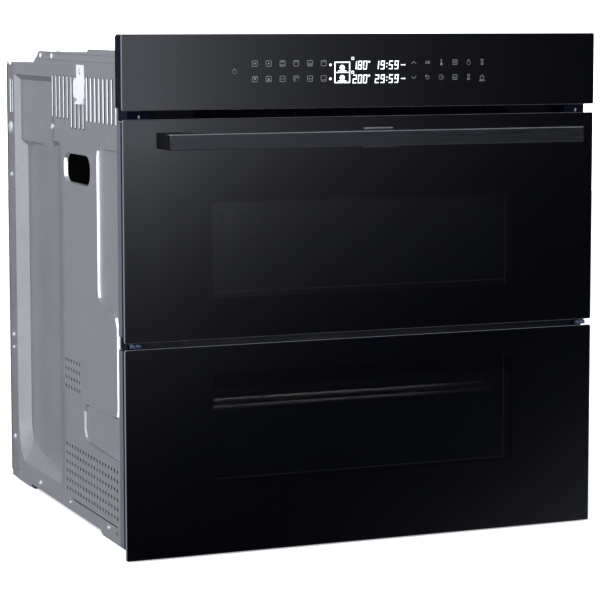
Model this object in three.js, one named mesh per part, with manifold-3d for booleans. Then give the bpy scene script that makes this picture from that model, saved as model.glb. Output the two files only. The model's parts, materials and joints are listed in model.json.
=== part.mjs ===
// Built-in electric oven with a split, two-part door.
// Millimetres. X to the right, Y into the cabinet, Z up.
// Heights are counted from the surface that the oven stands on.
// Depths are counted from the front face of the door glass, and the whole
// group is then shifted so that the origin is the middle of the footprint.

import * as THREE from 'three';
import Module from 'manifold-3d';
import { mergeVertices } from 'three/addons/utils/BufferGeometryUtils.js';

const wasm = await Module();
wasm.setup();

// ---------------------------------------------------------------- driving dimensions

const GAP = 0.3; // clearance between pieces that rest on each other
const PAST = 5; // how far a cutting tool reaches past the face that it cuts
const SHEET = 1.2; // galvanised sheet
const PANE = 4; // outer and inner door glass
const GLASS_CORNER = 1.5;

const FRONT_HALF = 297.5; // control glass, half width
const DOOR_HALF = 296.8; // door glass, half width
const BODY_HALF = 278; // casing, half width
const HANDLE_FRONT = -48;
const REAR = 568;
const FRONT_TOP = 596;
const CONTROL_BOTTOM = 511;
const UPPER_TOP = 501;
const UPPER_BOTTOM = 250.2;
const LOWER_TOP = 242.6;
const LOWER_BOTTOM = 1.2;

const DOOR_BACK = 37.7; // back of both door frames
const FRAME_HALF = 291.5; // door and control frames, half width
const WINDOW_HALF = 205; // hole through the door frames
const FRONT_FRAME_Y = 43;
const FRONT_FRAME_SHEET = 1.5;
const CASING_FRONT = 46.5;
const CASING_BACK = 566.8;

const CAVITY = { half: 215, floor: 62, ceiling: 436, front: 45, back: 478, corner: 8 };
const WOOL = 29; // insulation thickness
const COMPONENT_FLOOR = 472; // plate level above the insulation
const FAN_SHAFT = 4; // radius of every fan shaft
const SHAFT_HOLE = 4.6;

const HINGE_Y = 8;
const HINGE_Z = 24;
const SPLIT_HINGE_Y = 3;
const SPLIT_HINGE_Z = (UPPER_BOTTOM + LOWER_TOP) / 2;

const BAR = { half: 258, bottom: 468.5, top: 486.5, back: -36.5, chamfer: 0.8 };
const LEVER = { half: 18, y: -31.5, z: 468, top: 489.5, barrel: 2.2, pin: 1.2, eye: 1.5 };

const RACK_LEVELS = [104, 151.7, 199.4, 241.4, 300, 350];
const RACK_PAIR = 13.3; // height between the two wires of one level
const SHELF_Z = 157.2; // centre of the shelf's frame wire
const SHELF_FRONT = 80;
const SHELF_BACK = 440;
const DIVIDER_Z = 244.2; // underside of the divider

const SHELF_HALF = 203.5;

const UPPER_FAN_Z = 345;
const LOWER_FAN_Z = 153;
const UPPER_LAMP_Z = 400;
const LOWER_LAMP_Z = 190;
const COOLING = { y: 462, floor: 474, radius: 62 };

// ---------------------------------------------------------------- materials

function finish(color, roughness, metalness, opacity = 1) {
  const transparent = opacity < 1;
  return () => new THREE.MeshStandardMaterial({ color, roughness, metalness, opacity, transparent });
}

const galvanised = finish(0x8f9497, 0.42, 0.9);
const plated = finish(0xc2c4c6, 0.3, 1);
const blackGlass = finish(0x0b0b0f, 0.06, 0, 0.94);
const clearGlass = finish(0x8a9294, 0.05, 0, 0.35);
const blackPlastic = finish(0x16171a, 0.55, 0);
const darkMetal = finish(0x34363a, 0.34, 0.85);
const enamel = finish(0x17191d, 0.22, 0.1);
const chromeWire = finish(0xb9bcc0, 0.2, 1);
const heater = finish(0x4d4a48, 0.45, 0.7);
const sealFibre = finish(0x2b2b2c, 0.85, 0);
const wool = finish(0xd9d4c3, 0.95, 0);
const board = finish(0x1c4a33, 0.6, 0);
const motorSteel = finish(0x9a9c9e, 0.38, 0.9);
const fanSteel = finish(0xadb0b2, 0.35, 0.9);
const lampGlass = finish(0xe8e6dc, 0.1, 0, 0.5);

// ---------------------------------------------------------------- shape helpers

/** A closed geometry as a solid that can be joined and cut. */
function solid(geometry) {
  geometry.deleteAttribute('normal');
  geometry.deleteAttribute('uv');
  const welded = mergeVertices(geometry, 1e-4);
  const vertProperties = new Float32Array(welded.attributes.position.array);
  const triVerts = new Uint32Array(welded.index.array);
  return new wasm.Manifold(new wasm.Mesh({ numProp: 3, vertProperties, triVerts }));
}

/** A solid's surface as a three.js geometry. */
function surface(body) {
  const mesh = body.getMesh();
  const geometry = new THREE.BufferGeometry();
  geometry.setAttribute('position', new THREE.BufferAttribute(mesh.vertProperties, 3));
  geometry.setIndex(new THREE.BufferAttribute(mesh.triVerts, 1));
  geometry.computeVertexNormals();
  return geometry;
}

function block([x0, x1], [y0, y1], [z0, z1]) {
  const geometry = new THREE.BoxGeometry(x1 - x0, y1 - y0, z1 - z0);
  geometry.translate((x0 + x1) / 2, (y0 + y1) / 2, (z0 + z1) / 2);
  return solid(geometry);
}

const join = (bodies) => bodies.reduce((whole, body) => whole.add(body));
const cut = (body, tools) => body.subtract(join(tools));
const mirrored = (body) => body.mirror([1, 0, 0]);
const both = (body) => body.add(mirrored(body));

/** Outline in the plane across `axis`, drawn with (Y, Z), (X, Z) or (X, Y), as a prism. */
function prism(axis, shape, from, to, curveSegments = 4) {
  const depth = to - from;
  const geometry = new THREE.ExtrudeGeometry(shape, { depth, bevelEnabled: false, curveSegments });
  const turn = new THREE.Matrix4();
  if (axis === 'x') {
    turn.set(0, 0, 1, from, 1, 0, 0, 0, 0, 1, 0, 0, 0, 0, 0, 1);
  } else if (axis === 'y') {
    turn.set(1, 0, 0, 0, 0, 0, -1, to, 0, 1, 0, 0, 0, 0, 0, 1);
  } else {
    turn.makeTranslation(0, 0, from);
  }
  geometry.applyMatrix4(turn);
  return solid(geometry);
}

function outline(points) {
  return new THREE.Shape(points.map(([a, b]) => new THREE.Vector2(a, b)));
}

/** Rectangle with round corners in a prism's own plane. */
function rounded([a0, a1], [b0, b1], r) {
  const shape = new THREE.Shape();
  shape.moveTo(a0 + r, b0);
  shape.lineTo(a1 - r, b0);
  shape.absarc(a1 - r, b0 + r, r, -Math.PI / 2, 0);
  shape.lineTo(a1, b1 - r);
  shape.absarc(a1 - r, b1 - r, r, 0, Math.PI / 2);
  shape.lineTo(a0 + r, b1);
  shape.absarc(a0 + r, b1 - r, r, Math.PI / 2, Math.PI);
  shape.lineTo(a0, b0 + r);
  shape.absarc(a0 + r, b0 + r, r, Math.PI, Math.PI * 1.5);
  return shape;
}

/** Round bar along an axis; `centre` is its two coordinates across the axis. */
function rod(axis, centre, radius, from, to, sides = 16) {
  const geometry = new THREE.CylinderGeometry(radius, radius, to - from, sides);
  const middle = (from + to) / 2;
  if (axis === 'x') {
    geometry.rotateZ(Math.PI / 2);
    geometry.translate(middle, centre[0], centre[1]);
  } else if (axis === 'y') {
    geometry.translate(centre[0], middle, centre[1]);
  } else {
    geometry.rotateX(Math.PI / 2);
    geometry.translate(centre[0], centre[1], middle);
  }
  return solid(geometry);
}

/** Round tube along a smooth path through the given points, with an even number of sides. */
function tube(points, radius, steps, sides = 8) {
  const path = new THREE.CatmullRomCurve3(points.map((p) => new THREE.Vector3(...p)), false, 'centripetal');
  const section = new THREE.Shape();
  section.absarc(0, 0, radius, 0, Math.PI * 2);
  const options = { steps, extrudePath: path, curveSegments: sides / 2, bevelEnabled: false };
  return solid(new THREE.ExtrudeGeometry(section, options));
}

/** Sheet folded along a profile in the (Y, Z) plane, thickness measured upwards. */
function foldedSheet(profile, from, to, thickness) {
  const upper = profile.map(([y, z]) => [y, z + thickness]).reverse();
  return prism('x', outline([...profile, ...upper]), from, to);
}

const evenly = (count, first, step) => Array.from({ length: count }, (_, i) => first + i * step);

// ---------------------------------------------------------------- the assembly

const oven = new THREE.Group();
oven.position.y = -(HANDLE_FRONT + REAR) / 2;

function addPart(name, body, material) {
  const mesh = new THREE.Mesh(surface(body), material());
  mesh.name = name;
  oven.add(mesh);
}

/** Adds a right-hand piece and its mirror image. */
function addPair(name, rightBody, material) {
  addPart(`${name}_right`, rightBody, material);
  addPart(`${name}_left`, mirrored(rightBody), material);
}

// ---------------------------------------------------------------- casing

const SIDE_STEP = { rear: 557, middle: 572.5, front: 577 };
const SLOPE_Y = [411, 430]; // where the upper edge drops to the rear level
const TAB_Y = [203, 205]; // end of the raised front stretch
const FOOT = { frontEnd: 151, rearStart: 470, lift: 5, slope: 8 };

function sideOutline() {
  return outline([
    [CASING_FRONT, 0],
    [FOOT.frontEnd, 0],
    [FOOT.frontEnd + FOOT.slope, FOOT.lift],
    [FOOT.rearStart - FOOT.slope, FOOT.lift],
    [FOOT.rearStart, 0],
    [CASING_BACK, 0],
    [CASING_BACK, SIDE_STEP.rear],
    [SLOPE_Y[1], SIDE_STEP.rear],
    [SLOPE_Y[0], SIDE_STEP.middle],
    [TAB_Y[1], SIDE_STEP.middle],
    [TAB_Y[0], SIDE_STEP.front],
    [CASING_FRONT, SIDE_STEP.front],
  ]);
}

const THROUGH_SIDE = [BODY_HALF - 3, BODY_HALF + 1];
const LOUVRE = { count: 17, first: 82, pitch: 16.25, half: 4, bottom: 490.5, top: 544.5 };
const LONG_LOUVRE = { from: 209, to: 266, bottom: 480 };

/** Ventilation slots, four of them longer where the niche clip sits. */
function sideLouvres() {
  return evenly(LOUVRE.count, LOUVRE.first, LOUVRE.pitch).map((y) => {
    const long = y > LONG_LOUVRE.from && y < LONG_LOUVRE.to;
    const bottom = long ? LONG_LOUVRE.bottom : LOUVRE.bottom;
    return block(THROUGH_SIDE, [y - LOUVRE.half, y + LOUVRE.half], [bottom, LOUVRE.top]);
  });
}

const CARRY = { y: [188, 301], z: [414, 450], corner: 15 };

function carryHole() {
  return prism('x', rounded(CARRY.y, CARRY.z, CARRY.corner), ...THROUGH_SIDE, 5);
}

const REAR_FLANGE = 14; // width of the side panel's rear flange

function sidePanel() {
  const wall = prism('x', sideOutline(), BODY_HALF - SHEET, BODY_HALF);
  const rearFlange = block(
    [BODY_HALF - REAR_FLANGE, BODY_HALF - 0.1],
    [CASING_BACK - SHEET, CASING_BACK],
    [FOOT.lift + 3, SIDE_STEP.rear - 4],
  );
  return cut(wall.add(rearFlange), [...sideLouvres(), carryHole()]);
}

const CLIP = {
  sheet: 1.5,
  hookReach: 4.5,
  strap: { y: [208, 240], z: [511, 558] },
  shoulder: { y: [205, 249], z: [518, 541] },
  hook: { y: [210, 236], z: [511, 513] },
  screw: [224, 550],
  screwRadius: 2.4,
};

/** Spring clip of plated steel that presses against the niche wall. */
function sideClip() {
  const { strap, shoulder, hook, screw, screwRadius } = CLIP;
  const foot = BODY_HALF + GAP;
  const leaf = [foot, foot + CLIP.sheet];
  const plates = [block(leaf, strap.y, strap.z), block(leaf, shoulder.y, shoulder.z)];
  const tail = block([foot, BODY_HALF + CLIP.hookReach], hook.y, hook.z);
  const screwHole = rod('x', screw, screwRadius, BODY_HALF, BODY_HALF + CLIP.hookReach, 10);
  return cut(join([...plates, tail]), [screwHole]);
}

const INNER_HALF = BODY_HALF - SHEET - GAP;

const PLATE_FRONT = 60; // front edge of the top cover and of the component deck
const TOP_DROP = 2.5; // from the side panel's edge to the top cover's underside
const TOP_VENTS = { count: 9, first: -112, pitch: 28, half: 4, y: [452, 500], z: [540, 570] };

function topCover() {
  const [rear, front] = [SIDE_STEP.rear - TOP_DROP, SIDE_STEP.middle - TOP_DROP];
  const profile = [
    [PLATE_FRONT, front],
    [SLOPE_Y[0] + 1, front],
    [SLOPE_Y[1] + 1, rear],
    [CASING_BACK - 2, rear],
  ];
  const plate = foldedSheet(profile, -INNER_HALF, INNER_HALF, SHEET);
  const { count, first, pitch, half, y, z } = TOP_VENTS;
  const vents = evenly(count, first, pitch).map((x) => block([x - half, x + half], y, z));
  return cut(plate, vents);
}

function basePan() {
  const profile = [
    [CASING_FRONT, 0],
    [FOOT.frontEnd, 0],
    [FOOT.frontEnd + FOOT.slope, FOOT.lift],
    [FOOT.rearStart - FOOT.slope, FOOT.lift],
    [FOOT.rearStart, 0],
    [CASING_BACK - SHEET - GAP, 0],
  ];
  return foldedSheet(profile, -INNER_HALF, INNER_HALF, SHEET);
}

const TERMINAL = { x: [165, 235], z: [484, 540] };
const REAR_SHEET = { x: [-276, 276], z: [3, 556], corner: 6 };
const REAR_VENTS = { count: 11, first: -132, pitch: 24, half: 3, z: [500, 536] };

function rearCover() {
  const face = rounded(REAR_SHEET.x, REAR_SHEET.z, REAR_SHEET.corner);
  const sheet = prism('y', face, CASING_BACK + GAP, REAR);
  const depth = [CASING_BACK - PAST, REAR + PAST];
  const { count, first, pitch, half, z } = REAR_VENTS;
  const vents = evenly(count, first, pitch).map((x) => block([x - half, x + half], depth, z));
  const cableAccess = block(TERMINAL.x, depth, TERMINAL.z);
  return cut(sheet, [...vents, cableAccess]);
}

// ---------------------------------------------------------------- cavity

const FRONT_FRAME = {
  face: [2, 576],
  returns: [6.5, 566],
  returnBack: 58,
  armSlotX: [264.8, 271.2],
  armSlotZ: [11, 43],
  outletHalf: 200,
  outletZ: [502.5, 509.5],
};

/** Enamelled frame round the cavity's mouth, with slots for the hinge arms and the cooling air outlet. */
function frontFrame() {
  const { face, returns, returnBack, armSlotX, armSlotZ, outletHalf, outletZ } = FRONT_FRAME;
  const thick = FRONT_FRAME_SHEET;
  const back = FRONT_FRAME_Y + thick;
  const plate = block([-INNER_HALF, INNER_HALF], [FRONT_FRAME_Y, back], face);
  const tray = block([-INNER_HALF, INNER_HALF], [FRONT_FRAME_Y + 1, returnBack], returns);
  const hollowX = [-INNER_HALF + thick, INNER_HALF - thick];
  const hollow = block(hollowX, [back, returnBack + 2], [returns[0] + thick, returns[1] - thick]);
  const mouthShape = rounded([-CAVITY.half, CAVITY.half], [CAVITY.floor, CAVITY.ceiling], CAVITY.corner);
  const mouth = prism('y', mouthShape, FRONT_FRAME_Y - PAST, returnBack + 12);
  const depth = [FRONT_FRAME_Y - PAST, FRONT_FRAME_Y + 7];
  const armSlots = both(block(armSlotX, depth, armSlotZ));
  const airOutlet = block([-outletHalf, outletHalf], depth, outletZ);
  return cut(plate.add(tray.subtract(hollow)), [mouth, armSlots, airOutlet]);
}

const LINER_SHAFT_HOLE = 9;
const WOOL_SHAFT_HOLE = 13;
const WOOL_FRONT = 62;

function cavityLiner() {
  const { half, floor, ceiling, front, back, corner } = CAVITY;
  const wide = half + SHEET;
  const outside = rounded([-wide, wide], [floor - SHEET, ceiling + SHEET], corner + SHEET);
  const outer = prism('y', outside, front, back + SHEET);
  const inner = prism('y', rounded([-half, half], [floor, ceiling], corner), front - PAST, back);
  const shafts = [UPPER_FAN_Z, LOWER_FAN_Z].map((z) => {
    return rod('y', [0, z], LINER_SHAFT_HOLE, back - PAST, back + PAST);
  });
  return cut(outer, [inner, ...shafts]);
}

function insulationBlanket() {
  const { half, floor, ceiling, back } = CAVITY;
  const inside = half + SHEET + GAP;
  const outer = block(
    [-inside - WOOL, inside + WOOL],
    [WOOL_FRONT, back + WOOL],
    [floor - WOOL, ceiling + WOOL + 2],
  );
  const elementRoom = 15; // space left for the element under the floor
  const room = block(
    [-inside, inside],
    [WOOL_FRONT - 22, back + SHEET + GAP],
    [floor - elementRoom, ceiling + SHEET + GAP],
  );
  const shafts = [UPPER_FAN_Z, LOWER_FAN_Z].map((z) => {
    return rod('y', [0, z], WOOL_SHAFT_HOLE, back - PAST, back + WOOL + PAST);
  });
  return cut(outer, [room, ...shafts]);
}

const SEAL = { half: 240, z: [44, 456], corner: 22, width: 11, door: 0.8 };

function doorSeal() {
  const { half, z, corner, width, door } = SEAL;
  const y = [DOOR_BACK + door, FRONT_FRAME_Y - GAP];
  const ring = prism('y', rounded([-half, half], z, corner), ...y);
  const inner = half - width;
  const hole = rounded([-inner, inner], [z[0] + width, z[1] - width], corner - 10);
  return cut(ring, [prism('y', hole, y[0] - 2, y[1] + 2)]);
}

const WIRE = 2.5;
const WIRE_SIDES = 6;
const RACK = { uprightX: 206, guideX: 203, y: [85, 340, 444], z: [84, 390], guide: [82, 447] };
const RACK_HOOK = { y: 340, z: [120, 370], radius: 2 };

/** Wire ladder that carries the shelf and the divider on one side of the cavity. */
function sideRack() {
  const { uprightX, guideX } = RACK;
  const uprights = RACK.y.map((y) => rod('z', [uprightX, y], WIRE, ...RACK.z, WIRE_SIDES));
  const guides = RACK_LEVELS.flatMap((z) => [z, z + RACK_PAIR]).map((z) => {
    return rod('y', [guideX, z], WIRE, ...RACK.guide, WIRE_SIDES);
  });
  const hooks = RACK_HOOK.z.map((z) => {
    return rod('x', [RACK_HOOK.y, z], RACK_HOOK.radius, uprightX, CAVITY.half - GAP, WIRE_SIDES);
  });
  return join([...uprights, ...guides, ...hooks]);
}

const SHELF_BARS = { count: 18, first: -187, pitch: 22, radius: 1.7, rise: 1.5 };
const RAISED_FRONT = { half: 190, rise: 8.5 };

/** Chromed wire shelf: a frame, a raised front wire and the lengthwise wires. */
function wireShelf() {
  const [front, back] = [SHELF_FRONT, SHELF_BACK];
  const cross = (y, z, reach) => rod('x', [y, z], WIRE, -reach, reach, WIRE_SIDES);
  const side = (x) => rod('y', [x, SHELF_Z], WIRE, front - WIRE, back + WIRE, WIRE_SIDES);
  const { half, rise } = RAISED_FRONT;
  const raised = SHELF_Z + rise;
  const risers = [-half, half].map((x) => rod('z', [x, front], WIRE, SHELF_Z, raised, WIRE_SIDES));
  const frame = [
    cross(front, SHELF_Z, SHELF_HALF),
    cross(back, SHELF_Z, SHELF_HALF),
    side(SHELF_HALF - WIRE),
    side(-SHELF_HALF + WIRE),
    cross(front, raised, half + WIRE),
    ...risers,
  ];
  const { count, first, pitch, radius } = SHELF_BARS;
  const height = SHELF_Z + SHELF_BARS.rise;
  const bars = evenly(count, first, pitch).map((x) => {
    return rod('y', [x, height], radius, front, back, WIRE_SIDES);
  });
  return join([...frame, ...bars]);
}

const DIVIDER = { half: 194, front: 80, back: 443, thick: 6.5, runnerFront: 84, runnerThick: 3 };

/** Insulated plate that splits the cavity level with the split in the door. */
function dividerPlate() {
  const { half, front, back, thick, runnerFront, runnerThick } = DIVIDER;
  const plate = block([-half, half], [front, back], [DIVIDER_Z, DIVIDER_Z + thick]);
  const runnerZ = [DIVIDER_Z, DIVIDER_Z + runnerThick];
  const runner = block([-SHELF_HALF, SHELF_HALF], [runnerFront, back], runnerZ);
  return plate.add(runner);
}

// ---------------------------------------------------------------- heat and air

const ELEMENT = 3.2; // radius of every heating rod
const GRILL = { z: 421, legs: 6, reach: 150, y: [95, 440], steps: 90 };
const FLOOR_HEAT = { z: 53.5, legs: 4, reach: 150, y: [100, 440], steps: 56 };
const RING = { radius: 70, y: 464, gap: 0.24, count: 24, steps: 36, tail: 3 }; // gap in radians

/** Looped heating rod below the ceiling or below the floor. */
function loopedElement({ z, legs: count, reach, y: [near, far], steps }) {
  const pitch = (reach * 2) / (count - 1);
  const bend = pitch / 2;
  const points = evenly(count, -reach, pitch).flatMap((x, i) => {
    const ends = i % 2 === 0 ? [far - bend, near + bend] : [near + bend, far - bend];
    const turnY = i % 2 === 0 ? near : far;
    const legs = [[x, ends[0], z], [x, (near + far) / 2, z], [x, ends[1], z]];
    return i < count - 1 ? [...legs, [x + bend, turnY, z]] : legs;
  });
  return tube(points, ELEMENT, steps);
}

/** Nearly closed ring round a convection fan, with two tails into the rear wall. */
function ringElement(z) {
  const { radius, y, gap, count, steps } = RING;
  const turn = (i) => -Math.PI / 2 + gap / 2 + (i / count) * (Math.PI * 2 - gap);
  const ring = evenly(count + 1, 0, 1).map((i) => {
    return [radius * Math.cos(turn(i)), y, z + radius * Math.sin(turn(i))];
  });
  const tail = ([x, , height]) => rod('y', [x, height], RING.tail, y, CAVITY.back - GAP, 8);
  return join([tube(ring, ELEMENT, steps), tail(ring[0]), tail(ring[count])]);
}

const FAN = {
  disc: { radius: 58, y: [470.5, 472] },
  hub: { radius: 11, y: [457, 474] },
  shaftY: [472, 520],
  blade: { x: [24, 57], y: [458, 471.2], half: 0.6, count: 8, pitch: 8 }, // pitch in degrees
};

/** Radial convection fan with its shaft, turning about Y. */
function convectionFan(z) {
  const { disc, hub, shaftY, blade } = FAN;
  const round = [
    rod('y', [0, z], disc.radius, ...disc.y, 24),
    rod('y', [0, z], hub.radius, ...hub.y, 12),
    rod('y', [0, z], FAN_SHAFT, ...shaftY, 10),
  ];
  const vane = block(blade.x, blade.y, [-blade.half, blade.half]);
  const blades = evenly(blade.count, 0, 360 / blade.count).map((turn) => {
    return vane.rotate([0, blade.pitch + turn, 0]).translate([0, 0, z]);
  });
  return join([...round, ...blades]);
}

const FAN_MOTOR = {
  can: { radius: 32, y: [514, 548] },
  flange: { half: 44, y: [511, 514.5], rise: 30 },
  boss: { radius: 10, y: [547, 553] },
  boreY: [500, 522],
};

function fanMotor(z) {
  const { can, flange, boss, boreY } = FAN_MOTOR;
  const body = join([
    rod('y', [0, z], can.radius, ...can.y, 20),
    block([-flange.half, flange.half], flange.y, [z - flange.rise, z + flange.rise]),
    rod('y', [0, z], boss.radius, ...boss.y, 12),
  ]);
  return cut(body, [rod('y', [0, z], SHAFT_HOLE, ...boreY, 12)]);
}

const COVER = { front: 449, reach: 165, corner: 14, outletX: 146, outletHalf: 5, outletInset: 24 };
const PETAL = { count: 10, x: [14, 40], half: 3.2 };

/** Pressed baffle in front of a convection fan. */
function fanCover(z, half) {
  const { front, reach, corner, outletX, outletHalf, outletInset } = COVER;
  const [insideReach, insideHalf] = [reach - SHEET, half - SHEET];
  const outside = rounded([-reach, reach], [z - half, z + half], corner);
  const shell = prism('y', outside, front, CAVITY.back - GAP);
  const insideZ = [z - insideHalf, z + insideHalf];
  const inside = rounded([-insideReach, insideReach], insideZ, corner - SHEET);
  const room = prism('y', inside, front + SHEET, CAVITY.back - GAP + PAST);
  const depth = [front - PAST, front + PAST];
  const petal = block(PETAL.x, depth, [-PETAL.half, PETAL.half]);
  const petals = evenly(PETAL.count, 0, 360 / PETAL.count).map((turn) => {
    return petal.rotate([0, turn, 0]).translate([0, 0, z]);
  });
  const outletZ = [z - half + outletInset, z + half - outletInset];
  const outlets = [-outletX, outletX].map((x) => block([x - outletHalf, x + outletHalf], depth, outletZ));
  return cut(shell, [room, ...petals, ...outlets]);
}

const LAMP = { x: 188, base: 18, baseDepth: 4, dome: 15, domeDepth: 14 };

function ovenLamp(z) {
  const y = CAVITY.back - GAP;
  const base = rod('y', [LAMP.x, z], LAMP.base, y - LAMP.baseDepth, y, 16);
  const dome = rod('y', [LAMP.x, z], LAMP.dome, y - LAMP.domeDepth, y - LAMP.baseDepth + 0.5, 16);
  return base.add(dome);
}

const DUCT = { half: 205, y: [62, 372], top: 500.2 };

function airDuct() {
  const { half, y, top } = DUCT;
  const roof = block([-half, half], y, [top - SHEET, top]);
  const wall = block([half - SHEET, half], y, [COMPONENT_FLOOR, top - 0.2]);
  return join([roof, wall, mirrored(wall)]);
}

const DECK = { back: 556, thick: 1.2 };

function componentDeck() {
  const top = COMPONENT_FLOOR - GAP;
  return block([-INNER_HALF, INNER_HALF], [PLATE_FRONT, DECK.back], [top - DECK.thick, top]);
}

const HOUSING = { wall: 1.5, clear: 8.5, height: 54, mouthHalf: 60, mouthReach: 24, intake: 36 };

/** Scroll housing of the cooling fan, open to the front and with an intake in its lid. */
function coolingHousing() {
  const { y, floor, radius } = COOLING;
  const { wall, clear, height, mouthHalf, mouthReach, intake } = HOUSING;
  const [bottom, top] = [floor + wall, floor + height - wall];
  const drum = rod('z', [0, y], radius + clear + wall, floor, floor + height, 32);
  const mouthY = [y - radius - mouthReach, y - 20];
  const mouth = block([-mouthHalf, mouthHalf], mouthY, [floor, floor + height]);
  const room = rod('z', [0, y], radius + clear, bottom, top, 32);
  const throatX = [-mouthHalf + wall, mouthHalf - wall];
  const throat = block(throatX, [mouthY[0] - 6, mouthY[1]], [bottom, top]);
  const lidHole = rod('z', [0, y], intake, top - 2.5, top + 7.5, 24);
  return cut(drum.add(mouth), [room, throat, lidHole]);
}

const IMPELLER = {
  low: 6,
  high: 46,
  discSheet: 2,
  rimHeight: 3,
  rimWidth: 9,
  shaftTop: 56,
  vane: { count: 20, inset: [8, 1], half: 0.7 },
};
const COOLING_MOTOR = { radius: 28, z: [55, 76], bridgeHalf: 70, bridgeY: 8, bridgeZ: [54.3, 57] };

/** Squirrel-cage impeller, turning about Z. */
function coolingImpeller() {
  const { y, floor, radius } = COOLING;
  const { discSheet, rimHeight, rimWidth, shaftTop, vane } = IMPELLER;
  const [low, high] = [floor + IMPELLER.low, floor + IMPELLER.high];
  const disc = rod('z', [0, y], radius, low, low + discSheet, 28);
  const rim = rod('z', [0, y], radius, high - rimHeight, high, 28);
  const ring = cut(rim, [rod('z', [0, y], radius - rimWidth, high - PAST, high + PAST, 28)]);
  const shaft = rod('z', [0, y], FAN_SHAFT, low, floor + shaftTop, 10);
  const vaneX = vane.inset.map((inset) => radius - inset);
  const blade = block(vaneX, [-vane.half, vane.half], [low + 1, high - 1]);
  const vanes = evenly(vane.count, 0, 360 / vane.count).map((turn) => {
    return blade.rotate([0, 0, turn]).translate([0, y, 0]);
  });
  return join([disc, ring, shaft, ...vanes]);
}

function coolingMotor() {
  const { y, floor } = COOLING;
  const { radius, z, bridgeHalf, bridgeY, bridgeZ } = COOLING_MOTOR;
  const can = rod('z', [0, y], radius, floor + z[0], floor + z[1], 20);
  const bridge = block(
    [-bridgeHalf, bridgeHalf],
    [y - bridgeY, y + bridgeY],
    [floor + bridgeZ[0], floor + bridgeZ[1]],
  );
  const bore = rod('z', [0, y], SHAFT_HOLE, floor + bridgeZ[0] - 4.3, floor + bridgeZ[1] + 3, 12);
  return cut(can.add(bridge), [bore]);
}

const BOARD = {
  x: [-250, -110],
  y: [382, 545],
  z: [484, 485.6],
  inset: 5,
  post: 3,
  relay: { count: 4, first: -238, pitch: 30, width: 20, y: [395, 411], top: 501 },
  transformer: { x: [-180, -130], y: [470, 510], top: 516 },
};

/** The four points a little inside a rectangle's corners. */
function corners([x0, x1], [y0, y1], inset) {
  return [x0 + inset, x1 - inset].flatMap((x) => [y0 + inset, y1 - inset].map((y) => [x, y]));
}

function powerBoard() {
  const { x, y, z, inset, post, relay, transformer } = BOARD;
  const plate = block(x, y, z);
  const relays = evenly(relay.count, relay.first, relay.pitch).map((start) => {
    return block([start, start + relay.width], relay.y, [z[0] + 1, relay.top]);
  });
  const core = block(transformer.x, transformer.y, [z[0] + 1, transformer.top]);
  const posts = corners(x, y, inset).map((c) => rod('z', c, post, COMPONENT_FLOOR, z[0] + 0.5, 8));
  return join([plate, core, ...relays, ...posts]);
}

const CABLE_HOLE = { centre: [184, 497], radius: 8, deep: 12 };
const TERMINAL_TRAY = { x: [202, 230], z: [492, 532], deep: 10 };

function terminalBox() {
  const back = CASING_BACK - 1;
  const [x0, x1] = TERMINAL.x;
  const [z0, z1] = TERMINAL.z;
  const shell = block([x0 + 1, x1 - 1], [500, back], [z0 + 1, z1 - 1]);
  const hole = rod('y', CABLE_HOLE.centre, CABLE_HOLE.radius, back - CABLE_HOLE.deep, back + PAST, 16);
  const tray = block(TERMINAL_TRAY.x, [back - TERMINAL_TRAY.deep, back + PAST], TERMINAL_TRAY.z);
  return cut(shell, [hole, tray]);
}

// ---------------------------------------------------------------- control panel

function frontPane(half, bottom, top) {
  return prism('y', rounded([-half, half], [bottom, top], GLASS_CORNER), 0, PANE, 3);
}

const TOUCH_BOARD = { x: [-180, 180], y: [6, 7.6], z: [524, 586] };
const TOUCH_CHIP = { x: [60, 96], y: [7, 11], z: [545, 565] };
const TOUCH_STUDS = [[-172, 530], [172, 530], [-172, 580], [172, 580]];
const DISPLAY = { half: 45, y: [8, 17], z: [530, 578], rim: 5, floor: 15 };

function controlFrame() {
  const x = [-FRAME_HALF, FRAME_HALF];
  const shell = block(x, [PANE + GAP, FRONT_FRAME_Y - GAP], [CONTROL_BOTTOM + 2, FRONT_TOP - 2]);
  const room = block(
    [-FRAME_HALF + 2, FRAME_HALF - 2],
    [PANE - 1, FRONT_FRAME_Y - 2.5],
    [CONTROL_BOTTOM + 4, FRONT_TOP - 4],
  );
  return shell.subtract(room);
}

function touchBoard() {
  const plate = block(TOUCH_BOARD.x, TOUCH_BOARD.y, TOUCH_BOARD.z);
  const chip = block(TOUCH_CHIP.x, TOUCH_CHIP.y, TOUCH_CHIP.z);
  const studs = TOUCH_STUDS.map((c) => rod('y', c, 2.5, TOUCH_CHIP.y[0], FRONT_FRAME_Y - 2.8, 8));
  return join([plate, chip, ...studs]);
}

function displayModule() {
  const { half, y, z, rim, floor } = DISPLAY;
  const housing = block([-half, half], y, z);
  const room = block([rim - half, half - rim], [floor, floor + PAST], [z[0] + rim, z[1] - rim]);
  return cut(housing, [room]);
}

// ---------------------------------------------------------------- doors

const INNER_PANE = { half: 258, y: [34.2, 38.2], below: 9, above: 8 };
const MIDDLE_PANE = { half: 255, y: [18, 21], below: 15, above: 13 };

/** Door frame behind one outer pane: window hole and seats for two inner panes. */
function doorFrame([bottom, top], windowZ) {
  const body = block([-FRAME_HALF, FRAME_HALF], [PANE + GAP, DOOR_BACK], [bottom, top]);
  const window = block([-WINDOW_HALF, WINDOW_HALF], THROUGH_DOOR, windowZ);
  const middle = middlePane([bottom, top], GAP);
  const inner = innerPane([bottom, top], GAP);
  return cut(body, [window, middle, inner]);
}

function innerPane([bottom, top], grow = 0) {
  const { half, y, below, above } = INNER_PANE;
  return block([-half - grow, half + grow], [y[0] - grow, y[1]], [bottom + below - grow, top - above + grow]);
}

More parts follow.
